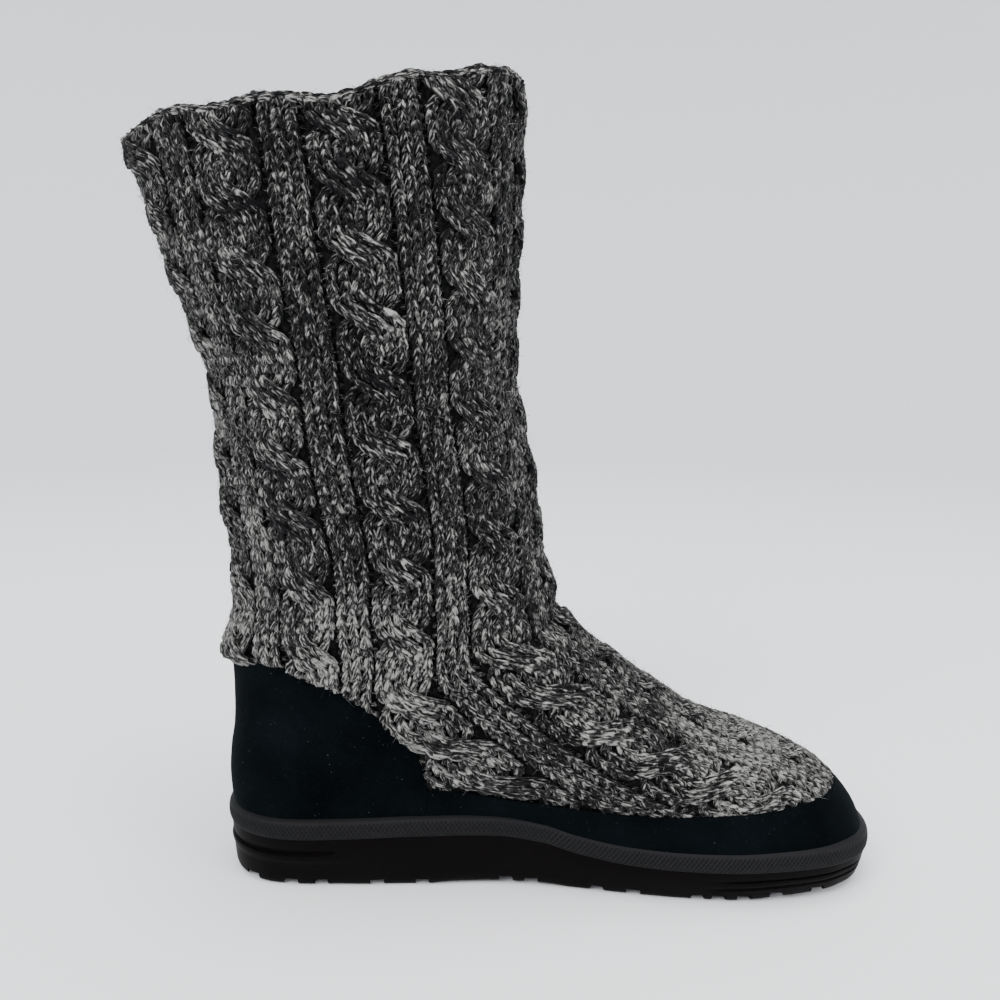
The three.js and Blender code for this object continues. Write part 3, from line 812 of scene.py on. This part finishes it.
# the columns: wale centre, kind and place in its cable or rib
def knitColumns():
    half = knit["cableHalf"] - 0.5
    columns = []
    for repeat in range(-(knit["repeats"] // 2) - 1, knit["repeats"] // 2 + 2):
        start = repeat * perRepeat
        for k in range(2 * knit["cableHalf"]):
            columns.append((start + k - half, "cable", k - half, repeat))
        columns.append((start + 3.5, "purl", 0, repeat))
        for k in range(3):
            columns.append((start + 4.5 + k, "rib", k - 1, repeat))
        columns.append((start + 7.5, "purl", 0, repeat))
    end = knit["wales"] / 2
    return [column for column in columns if -end <= column[0] < end]


# one leg of a stitch and one bar of a channel, in wales aside, rows down, height and width
legShape = {
    "side": np.array([0.05, 0.15, 0.29, 0.40]), "down": np.array([-0.70, -0.22, 0.22, 0.70]),
    "height": np.array([-0.75, 0.30, 0.30, -0.80]), "width": np.array([0.50, 1.0, 1.0, 0.50]),
}
barShape = {
    "side": np.array([-0.56, -0.2, 0.2, 0.56]), "down": np.array([0.14, -0.10, -0.10, 0.14]),
    "height": np.array([-0.9, 0.0, 0.0, -0.9]), "width": np.array([0.5, 0.85, 0.85, 0.5]),
}
cablePhases = {-3: 0.5, -2: 0.0, -1: -0.8, 0: 0.4, 1: 1.1, 2: -0.5, 3: 0.3}  # rows, by repeat


def buildKnit():
    random = np.random.default_rng(seedBase)
    rows = np.arange(0.5, rowCount, 1.0)
    gathered = []
    for centre, kind, place, repeat in knitColumns():
        live = rows[liveAt(np.full(rows.shape, centre), rows, stitch["marginAtSuede"])]
        shape = barShape if kind == "purl" else legShape
        for side in ((1,) if kind == "purl" else (-1, 1)):
            single = (len(live), 1)
            row = live[:, None] + shape["down"][None] + random.normal(0, stitch["rowStray"], single)
            offset = side * shape["side"][None] + random.normal(0, stitch["sideStray"], single)
            height = shape["height"][None] + random.normal(0, stitch["heightStray"], single)
            relief = 0 * height
            tone = random.normal(0, stitch["toneSpread"], len(live))
            widen = 1.0
            if kind == "purl":
                relief = relief - stitch["channelDepth"]
                # the sunken bars in the channels get painted shade, a darker tone
                tone = tone + stitch["barPaintedShade"]
            elif kind == "rib":
                relief = relief + stitch["ribCrown"] * (1 - abs(place))
            else:
                shift = cablePhases.get(repeat, 0.0)
                move, lift, below = cableMove(place, row, live[:, None], shift)
                offset = offset + move
                relief = relief + lift
                # stitches carried under the cross get painted shade, a darker tone
                tone = tone + stitch["underPaintedShade"] * below[:, 1]
                widen = 1 + stitch["crossWiden"] * (lift[:, 1:2] > stitch["cableCrown"])
            spread = widen * random.uniform(stitch["thinnest"], stitch["thickest"], single)
            wide = np.broadcast_to(shape["width"][None] * spread, row.shape)
            sideways = centre + offset + 0 * row
            gathered.append((sideways, row, height + 0 * row, relief + 0 * row, wide, tone))
    wale, row, height, relief, width, tone = [np.concatenate(items) for items in zip(*gathered)]
    point, normal, _ = onKnit(wale, row)
    height = height + relief * reliefAt(point[..., 0], point[..., 2])
    height = height + edgeHeight(point) - creaseDepth(point[..., 0], point[..., 2])
    tone = tone + stitch["patchSpread"] * patchTone(wale[:, 1], row[:, 1], random)
    tone = tone + placeTone(point[:, 1])
    centres = point + normal * (height - stitch["seat"])[..., None]
    order = np.argsort(wale[:, 1], kind="stable")
    for number, part in enumerate(np.array_split(order, stitch["pieces"])):
        wide, deep = stitch["legHalfWidth"] * width[part], stitch["legHalfDepth"] * width[part]
        verts, triangles, uv, perPiece = tubePieces(centres[part], normal[part], wide, deep)
        joinedMesh("knit_stitches_%d" % (number + 1), toFrame(verts), triangles, yarn,
                   np.repeat(tone[part], perPiece), uv)
    return centres, normal, tone


legCentres, legNormals, legTones = buildKnit()
print("stitches made:", len(legTones))

# edge of the collar: a chain of slanted links over the rim
rimChain = {
    "links": 99, "radius": 1.75, "reach": 0.75, "sway": 0.7, "lift": 0.6, "stray": 0.4,
    "layers": [(0.9, -0.2), (2.6, 1.0), (4.6, -0.2)],
}


def makeRimChain():
    random = np.random.default_rng(seedBase + 1)
    start = np.arange(rimChain["links"]) - knit["wales"] / 2 + 0.5
    chains = []
    for layer, (depth, lift) in enumerate(rimChain["layers"]):
        slant = np.linspace(-rimChain["reach"], rimChain["reach"], stitch["rings"])
        wale = start[:, None] + slant[None] + 0.5 * (layer % 2)
        point, normal, _ = onKnit(wale, np.zeros(wale.shape))
        sway = np.linspace(-rimChain["sway"], rimChain["sway"], stitch["rings"])[None]
        sway = (1.0 - 2 * (layer % 2)) * sway
        centre = point - normal * (depth + sway)[..., None]
        centre[..., 2] += lift + rimChain["lift"] * np.cos(np.linspace(-1.5, 1.5, stitch["rings"]))[None]
        centre[..., 2] += random.normal(0, rimChain["stray"], (len(start), 1))
        upward = np.zeros_like(normal)
        upward[..., 2] = 1
        chains.append((centre, upward + normal * (0.6 if layer == 0 else 0)))
    centres = np.concatenate([chain[0] for chain in chains])
    normals = np.concatenate([chain[1] for chain in chains])
    normals /= np.linalg.norm(normals, axis=2, keepdims=True)
    width = rimChain["radius"] * np.array([0.7, 1.0, 1.0, 0.7])[None]
    verts, triangles, uv, perPiece = tubePieces(centres, normals, width, 0.9 * width)
    tone = np.repeat(random.normal(-0.02, 0.14, len(centres)), perPiece)
    joinedMesh("collar_edge", toFrame(verts), triangles, yarn, tone, uv)


makeRimChain()

# reverse side of the knit inside the collar and leg
reverse = {"rows": 16, "depth": 6.3, "radius": 1.3}


def makeReverse():
    random = np.random.default_rng(seedBase + 2)
    firstWale = (knit["wales"] - 1) / 2
    row, wale = np.meshgrid(
        np.arange(0.4, reverse["rows"]), np.arange(knit["wales"]) - firstWale, indexing="ij")
    row = row.ravel()[:, None] + np.array([0.16, -0.12, -0.12, 0.16])[None]
    wale = wale.ravel()[:, None] + np.array([-0.55, -0.2, 0.2, 0.55])[None]
    point, normal, _ = onKnit(wale, row)
    arch = np.array([0.7, 0.0, 0.0, 0.7])[None, :, None]
    centres = point - normal * (reverse["depth"] - arch)
    width = reverse["radius"] * np.array([0.75, 1.0, 1.0, 0.75])[None]
    verts, triangles, uv, perPiece = tubePieces(centres, -normal, width, width)
    tone = np.repeat(random.normal(-0.06, 0.14, len(centres)), perPiece)
    joinedMesh("knit_reverse", toFrame(verts), triangles, yarn, tone, uv)


makeReverse()
print("collar made")

# fibres of the yarn that lie loosely along the stitches, each a thin needle
fibres = {
    "count": 48000, "shortest": 1.8, "longest": 4.4, "radius": 0.075, "stray": 0.42, "lift": 0.17,
}


def makeFibres():
    random = np.random.default_rng(seedBase + 3)
    chosen = random.integers(0, len(legCentres), fibres["count"])
    along = legCentres[chosen, 2] - legCentres[chosen, 1]
    along /= np.linalg.norm(along, axis=1, keepdims=True)
    normal = legNormals[chosen, 1]
    across = np.cross(along, normal)
    count = len(chosen)
    start = legCentres[chosen, random.integers(1, 3, count)]
    start = start + normal * random.uniform(0.55, 0.9, (count, 1))
    start = start + across * random.uniform(-0.7, 0.7, (count, 1))
    heading = along * random.choice([-1.0, 1.0], (count, 1))
    heading = heading + across * random.normal(0, fibres["stray"], (count, 1))
    heading = heading + normal * random.uniform(0.0, 2 * fibres["lift"], (count, 1))
    heading /= np.linalg.norm(heading, axis=1, keepdims=True)
    length = random.uniform(fibres["shortest"], fibres["longest"], (count, 1))
    side = np.cross(heading, normal)
    side /= np.linalg.norm(side, axis=1, keepdims=True)
    upward = np.cross(side, heading)
    base = start - heading * length * 0.4
    verts = np.stack([
        base - side * fibres["radius"], base + side * fibres["radius"],
        base + upward * fibres["radius"] * 1.3, start + heading * length * 0.6], axis=1)
    template = np.array([(0, 1, 2), (0, 3, 1), (1, 3, 2), (2, 3, 0)])
    triangles = template[None] + 4 * np.arange(count)[:, None, None]
    # the fibres take on the legs' tone, including its painted shade on sunken bars and under-crossing cable
    # stitches
    tone = np.clip(random.normal(0.50, 0.30, count) + 0.8 * legTones[chosen], 0, 1)
    places = toFrame(verts.reshape(-1, 3))
    joinedMesh("yarn_fibres", places, triangles.reshape(-1, 3), looseFibre, np.repeat(tone, 4))


makeFibres()

# loose hairs standing off the yarn, each with a bend
fuzz = {
    "count": 12500, "rimCount": 900, "shortest": 1.4, "longest": 5.2, "radius": 0.085, "lean": 0.9,
    "fewLong": 2.2,
}


def makeFuzz():
    random = np.random.default_rng(seedBase + 4)
    chosen = random.integers(0, len(legCentres), fuzz["count"])
    point = legCentres[chosen, random.integers(1, 3, fuzz["count"])]
    normal = legNormals[chosen, 1]
    rimWale = random.uniform(-49, 49, fuzz["rimCount"])
    rimPlace, rimNormal, _ = onKnit(rimWale, np.zeros(fuzz["rimCount"]))
    rimPlace = rimPlace - rimNormal * random.uniform(0.8, 4.6, (fuzz["rimCount"], 1))
    rimPlace[:, 2] += 0.8
    rimNormal = 0.4 * rimNormal + np.array([0, 0, 0.9])
    point = np.concatenate([point, rimPlace])
    rimNormal /= np.linalg.norm(rimNormal, axis=1, keepdims=True)
    normal = np.concatenate([normal, rimNormal])
    count = len(point)
    sideways = random.normal(0, 1, (count, 3))
    sideways -= normal * np.sum(sideways * normal, axis=1, keepdims=True)
    sideways /= np.linalg.norm(sideways, axis=1, keepdims=True)
    length = random.uniform(0, 1, count) ** fuzz["fewLong"]
    length = length * (fuzz["longest"] - fuzz["shortest"]) + fuzz["shortest"]
    lean = random.uniform(0.4, 1.8, count)[:, None] * fuzz["lean"]
    root = point + normal * 0.4
    middle = root + (normal * 0.62 + sideways * lean * 0.35) * length[:, None] * 0.6
    tip = root + (normal * 0.8 + sideways * lean) * length[:, None] * 0.75
    across = np.cross(normal, sideways)
    rings = []
    for centre, radius in ((root, 1.0), (middle, 0.8)):
        for angle in 2 * np.pi * np.arange(3) / 3:
            spoke = across * math.cos(angle) + normal * math.sin(angle)
            rings.append(centre + spoke * fuzz["radius"] * radius)
    verts = np.stack(rings + [tip], axis=1)
    template = [(0, 2, 1)]
    for k in range(3):
        j = (k + 1) % 3
        template += [(k, j, 3 + j), (k, 3 + j, 3 + k), (3 + k, 3 + j, 6)]
    triangles = np.array(template)[None] + 7 * np.arange(count)[:, None, None]
    tone = np.repeat(np.clip(random.normal(0.5, 0.28, count), 0, 1), 7)
    places = toFrame(verts.reshape(-1, 3))
    joinedMesh("yarn_fuzz", places, triangles.reshape(-1, 3), looseFibre, tone)


makeFuzz()
print("fibres made")


# suede: a ring between two forms of the upper, cut to its side view
def sideCutter(outlinePoints):
    aside = suedePiece["cutterHalf"]
    work = bmesh.new()
    corners = [work.verts.new(toFrame((x, -aside, z))) for x, z in outlinePoints]
    face = work.faces.new(corners)
    grown = bmesh.ops.extrude_face_region(work, geom=[face])
    moved = [item for item in grown["geom"] if isinstance(item, bmesh.types.BMVert)]
    bmesh.ops.translate(work, verts=moved, vec=(0, 2 * aside * mm, 0))
    bmesh.ops.recalc_face_normals(work, faces=work.faces)
    return placeObject("cutter", meshFrom("cutter", work))


def applyBoolean(piece, cutter, operation, solver="EXACT"):
    modifier = piece.modifiers.new("cut", "BOOLEAN")
    modifier.object = cutter
    modifier.operation = operation
    modifier.solver = solver
    graph = bpy.context.evaluated_depsgraph_get()
    result = bpy.data.meshes.new_from_object(piece.evaluated_get(graph))
    piece.modifiers.clear()
    piece.data = result
    bpy.data.objects.remove(cutter, do_unlink=True)


def makeSuede(name, node, zone):
    stackRises = np.linspace(suedePiece["lowRise"], suedePiece["topRise"], suedePiece["stack"])
    grid = upperGrid(stackRises, suedePiece["around"])
    normals = gridNormals(grid)
    outer = suedeDepth(grid[:, :, 0])[..., None]
    outside = grid - normals * outer
    inside = grid - normals * (outer + suedePiece["thickness"])
    piece = ringPiece(name, np.concatenate([outside, inside[::-1]]), suede)
    applyBoolean(piece, sideCutter(zone), "INTERSECT")
    piece.data.shade_smooth()
    soften = piece.modifiers.new("edges", "EDGE_SPLIT")
    soften.split_angle = math.radians(40)
    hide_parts(node)


# side view of a piece of suede: along the bed, then back along its upper edge
def suedeZone(start, end, bedCount, edgeCount):
    bed = [(x, float(bedAt(x)) + boot["gap"]) for x in np.linspace(start, end, bedCount)]
    edge = [(x, float(suedeEdge(np.array(x)))) for x in np.linspace(start, end, edgeCount)]
    return bed + edge[::-1]


seamX = counterTable[-1, 0] * soleLength
makeSuede("heel_suede", "heel_counter", suedeZone(suedePiece["pastHeel"], seamX - 0.01, 12, 60))
makeSuede("rand_suede", "toe_rand", suedeZone(seamX + boot["gap"], suedePiece["pastToe"], 24, 70))
print("suede made")


def outwardOf(ring):
    around = np.roll(ring, -1, axis=0) - np.roll(ring, 1, axis=0)
    outward = np.stack([around[:, 1], -around[:, 0], 0 * around[:, 0]], axis=1)
    return outward / np.linalg.norm(outward, axis=1, keepdims=True)


# outline of the sole drawn in by an inset at each height
def soleRings(count, insets, heights):
    turns = np.linspace(0, 1, 4 * count, endpoint=False)
    share = 0.5 + 0.5 * np.cos(2 * np.pi * turns)
    x = soleLength * share
    y = smoothTable(footTable, 1, share) * ballWidth * np.sin(2 * np.pi * turns)
    y = y + smoothTable(footTable, 2, share) * ballWidth
    ring = evenRing(np.stack([x, y, 0 * x], axis=1), count)
    outward = outwardOf(ring)
    rings = []
    for inset, height in zip(insets, heights):
        moved = ring - outward * np.broadcast_to(inset(ring[:, 0]), (count,))[:, None]
        moved[:, 2] = height(moved[:, 0])
        rings.append(moved)
    return np.stack(rings)


band = {
    "height": 8.4, "depth": 3.2, "around": 1750, "cycles": 350, "knurlRise": 3.4, "knurlDepth": 0.55,
    "rows": 17, "innerInset": 5.0, "plainAbove": 0.7, "plainFade": 0.12, "plainBelow": 0.05,
}
# section of the band: share of its height, share of its depth drawn in
bandTable = np.array([
    (0.00, 0.28), (0.22, 0.06), (0.45, 0.00), (0.68, 0.06), (0.88, 0.31), (1.00, 0.94),
])


# small slanted pits over the lower part of the band, a smooth lip above them; the pits are also painted
# darker as shade through the tone
def makeBand():
    shares = np.linspace(0, 1, band["rows"])
    insets = [lambda x, s=s: smoothTable(bandTable, 1, np.full(x.shape, s)) * band["depth"] for s in shares]
    heights = [lambda x, s=s: bedAt(x) + boot["gap"] + s * band["height"] for s in shares]
    insets += [lambda x: np.full(x.shape, band["innerInset"])] * 2
    heights += [heights[band["rows"] - 1], heights[0]]
    rings = soleRings(band["around"], insets, heights)
    outward = outwardOf(rings[0])
    turn = 2 * np.pi * band["cycles"] * np.arange(band["around"]) / band["around"]
    lean = np.where(rings[0][:, 0] < 0.5 * soleLength, 1, -1)
    lean = lean * np.where(rings[0][:, 1] < 0, 1, -1)
    tone = np.zeros(rings.shape[:2])
    for row in range(1, band["rows"] - 1):
        share = shares[row]
        pitted = smoothStep(band["plainAbove"] + band["plainFade"], band["plainAbove"], share)
        pitted = pitted * (share > band["plainBelow"])
        rise = 2 * np.pi * band["knurlRise"] * share
        slanted = 0.5 - 0.5 * np.cos(turn + lean * rise)
        crossed = 0.5 - 0.5 * np.cos(turn - lean * rise)
        pit = pitted * slanted * (0.35 + 0.65 * crossed)
        rings[row] -= outward * (band["knurlDepth"] * pit)[:, None]
        # painted shade in the pits
        tone[row] = smoothStep(0.15, 0.6, pit)
    piece = ringPiece("foxing_strip", rings, bandRubber, tone=tone)
    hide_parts("foxing_band")


makeBand()
print("band made")

sole = {
    "taper": 5.0, "taperPower": 1.6, "edgeRound": 1.6, "step": 1.3, "groove": 0.9, "around": 420,
    "notchWidth": 5.6, "notchDepth": 3.2, "flare": 0.5, "heelGrooveEnd": 0.17, "toeGrooveStart": 0.78,
    "capShares": (0.12, 0.3, 0.5, 0.7, 0.9, 0.985),
}
# side of the sole: share of its height, of the edge's round, of the grooves at heel and toe
sideTable = np.array([
    (0.00, 1.00, 0.0, 0.0), (0.03, 0.45, 0.0, 0.0), (0.07, 0.12, 0.0, 0.0), (0.12, 0.0, 0.0, 0.0),
    (0.25, 0.0, 0.0, 0.0), (0.40, 0.0, 0.0, 0.0), (0.43, 0.0, 0.0, 0.6), (0.46, 0.0, 0.0, 1.0),
    (0.50, 0.0, 0.0, 0.5), (0.54, 0.0, -0.3, 0.0), (0.62, 0.0, -0.6, 0.0), (0.67, 0.0, -0.4, 0.3),
    (0.70, 0.0, 0.9, 1.0), (0.73, 0.0, 1.0, 0.8), (0.77, 0.0, 0.3, 0.1), (0.84, 0.0, 0.05, 0.0),
    (1.00, 0.0, 0.0, 0.0),
])
# notches across the tread: share of the sole's length, turn in degrees
notchTable = [
    (0.051, 0), (0.102, 6), (0.167, -6), (0.232, 6), (0.318, -6), (0.429, 5), (0.481, -5), (0.562, 6),
    (0.637, -6), (0.707, 6), (0.750, 0), (0.787, 0), (0.849, -6), (0.900, 0),
]


def sideInset(row):
    rise, edge, heel, toe = row

    def inset(x):
        share = x / soleLength
        heelPart = heel * (1 - smoothStep(sole["heelGrooveEnd"], sole["heelGrooveEnd"] + 0.03, share))
        toePart = toe * smoothStep(sole["toeGrooveStart"] - 0.06, sole["toeGrooveStart"], share)
        taper = smoothTable(bedTable, 3, share) * sole["taper"] * (1 - rise) ** sole["taperPower"]
        return sole["step"] + taper + sole["edgeRound"] * edge + sole["groove"] * (heelPart + toePart)
    return inset


def makeNotch(share, turn):
    x = share * soleLength
    top = float(treadAt(x)) + sole["notchDepth"]
    half = sole["notchWidth"] / 2
    work = bmesh.new()
    bmesh.ops.create_cube(work, size=1)
    for vert in work.verts:
        wide = half + sole["flare"] if vert.co.z < 0 else half
        vert.co.x = math.copysign(wide, vert.co.x) * mm
        vert.co.y = math.copysign(90, vert.co.y) * mm
        vert.co.z = (top if vert.co.z > 0 else -5) * mm
    turning = Matrix.Rotation(math.radians(turn), 3, "Z")
    bmesh.ops.rotate(work, verts=work.verts, cent=(0, 0, 0), matrix=turning)
    bmesh.ops.translate(work, verts=work.verts, vec=((x - boot["heelRest"]) * mm, 0, 0))
    return placeObject("notch", meshFrom("notch", work))


def makeSole():
    insets = [sideInset(row) for row in sideTable]
    heights = [lambda x, s=row[0]: treadAt(x) + (bedAt(x) - treadAt(x)) * s for row in sideTable]
    rings = soleRings(sole["around"], insets, heights)
    caps = {}
    for end, height in ((0, treadAt), (-1, bedAt)):
        layers = []
        for share in sole["capShares"]:
            ring = rings[end].copy()
            spine = smoothTable(footTable, 2, ring[:, 0] / soleLength) * ballWidth
            ring[:, 1] = ring[:, 1] + (spine - ring[:, 1]) * share
            ring[:, 2] = height(ring[:, 0])
            layers.append(ring)
        caps[end] = np.stack(layers)
    full = np.concatenate([caps[0][::-1], rings, caps[-1]])
    piece = ringPiece("moulded_sole", full, soleRubber, looped=False)
    for share, turn in notchTable:
        applyBoolean(piece, makeNotch(share, turn), "DIFFERENCE", "MANIFOLD")
    split = piece.modifiers.new("edges", "EDGE_SPLIT")
    split.split_angle = math.radians(35)
    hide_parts("outsole")


makeSole()
print("sole made")

# the footbed keeps its own shape and gets its fleece
footbed = bpy.data.objects["insole"]
footbed.data.materials.clear()
footbed.data.materials.append(footbedFleece)

# floor, light and camera
studio = {
    "floorColour": (0.925, 0.93, 0.945), "floorFlat": 1.7, "floorReach": 3.4, "floorRise": 1.7,
    "skyColour": (0.66, 0.68, 0.71, 1), "skyStrength": 1.62, "lightsAim": (0.08, 0, 0.15),
    "cameraX": 116.0, "cameraY": -410.0, "cameraHeight": 228.0, "pitch": 9.5, "roll": 0.67,
    "lens": 36.0, "filmWidth": 36.0,
}
# place in metres, width in metres and power of each soft light
softLights = {
    "windowLight": ((-0.9, -1.4, 1.5), 1.2, 36), "ceilingLight": ((0.3, -0.2, 2.0), 1.6, 28),
    "fillLight": ((1.4, -0.9, 0.8), 1.2, 11),
}


# flat round the boot, then rising smoothly all round like studio paper
def makeFloor():
    work = bmesh.new()
    bmesh.ops.create_grid(work, x_segments=90, y_segments=90, size=studio["floorReach"])
    for vert in work.verts:
        away = math.hypot(vert.co.x, vert.co.y)
        share = max(0.0, away - studio["floorFlat"]) / (studio["floorReach"] - studio["floorFlat"])
        vert.co.z = studio["floorRise"] * min(share, 1.2) ** 2
    mesh = meshFrom("floor", work)
    floor = placeObject("floor", mesh)
    mesh.shade_smooth()
    material, _, shader = newMaterial("paleFloor", 0.85, 0.3)
    shader.inputs["Base Color"].default_value = (*studio["floorColour"], 1)
    mesh.materials.append(material)


def addSoftLight(name, place, size, power):
    data = bpy.data.lights.new(name, "AREA")
    data.shape = "DISK"
    data.size = size
    data.energy = power
    lamp = placeObject(name, data)
    lamp.location = place
    aim = Vector(studio["lightsAim"]) - Vector(place)
    lamp.rotation_euler = aim.to_track_quat("-Z", "Y").to_euler()


def makeSky():
    world = bpy.data.worlds.new("paleRoom")
    world.use_nodes = True
    background = world.node_tree.nodes["Background"]
    background.inputs["Color"].default_value = studio["skyColour"]
    background.inputs["Strength"].default_value = studio["skyStrength"]
    bpy.context.scene.world = world


# level with the ankle and looking down a little, rolled as the photograph is
def makeCamera():
    pitch = math.radians(studio["pitch"])
    roll = math.radians(studio["roll"])
    flat, tilted = math.cos(roll), math.sin(roll)
    ahead, down = math.cos(pitch), math.sin(pitch)
    right = Vector((flat, tilted * down, tilted * ahead))
    up = Vector((-tilted, flat * down, flat * ahead))
    back = Vector((0, -ahead, down))
    place = toFrame((studio["cameraX"], studio["cameraY"], studio["cameraHeight"]))
    data = bpy.data.cameras.new("camera")
    data.lens = studio["lens"]
    data.sensor_width = studio["filmWidth"]
    data.clip_start = 0.01
    camera = placeObject("camera", data)
    turn = Matrix((right, up, back)).transposed().to_4x4()
    camera.matrix_world = Matrix.Translation(Vector(place)) @ turn
    bpy.context.scene.camera = camera


makeFloor()
makeSky()
for name, (place, size, power) in softLights.items():
    addSoftLight(name, place, size, power)
makeCamera()
print("studio made")
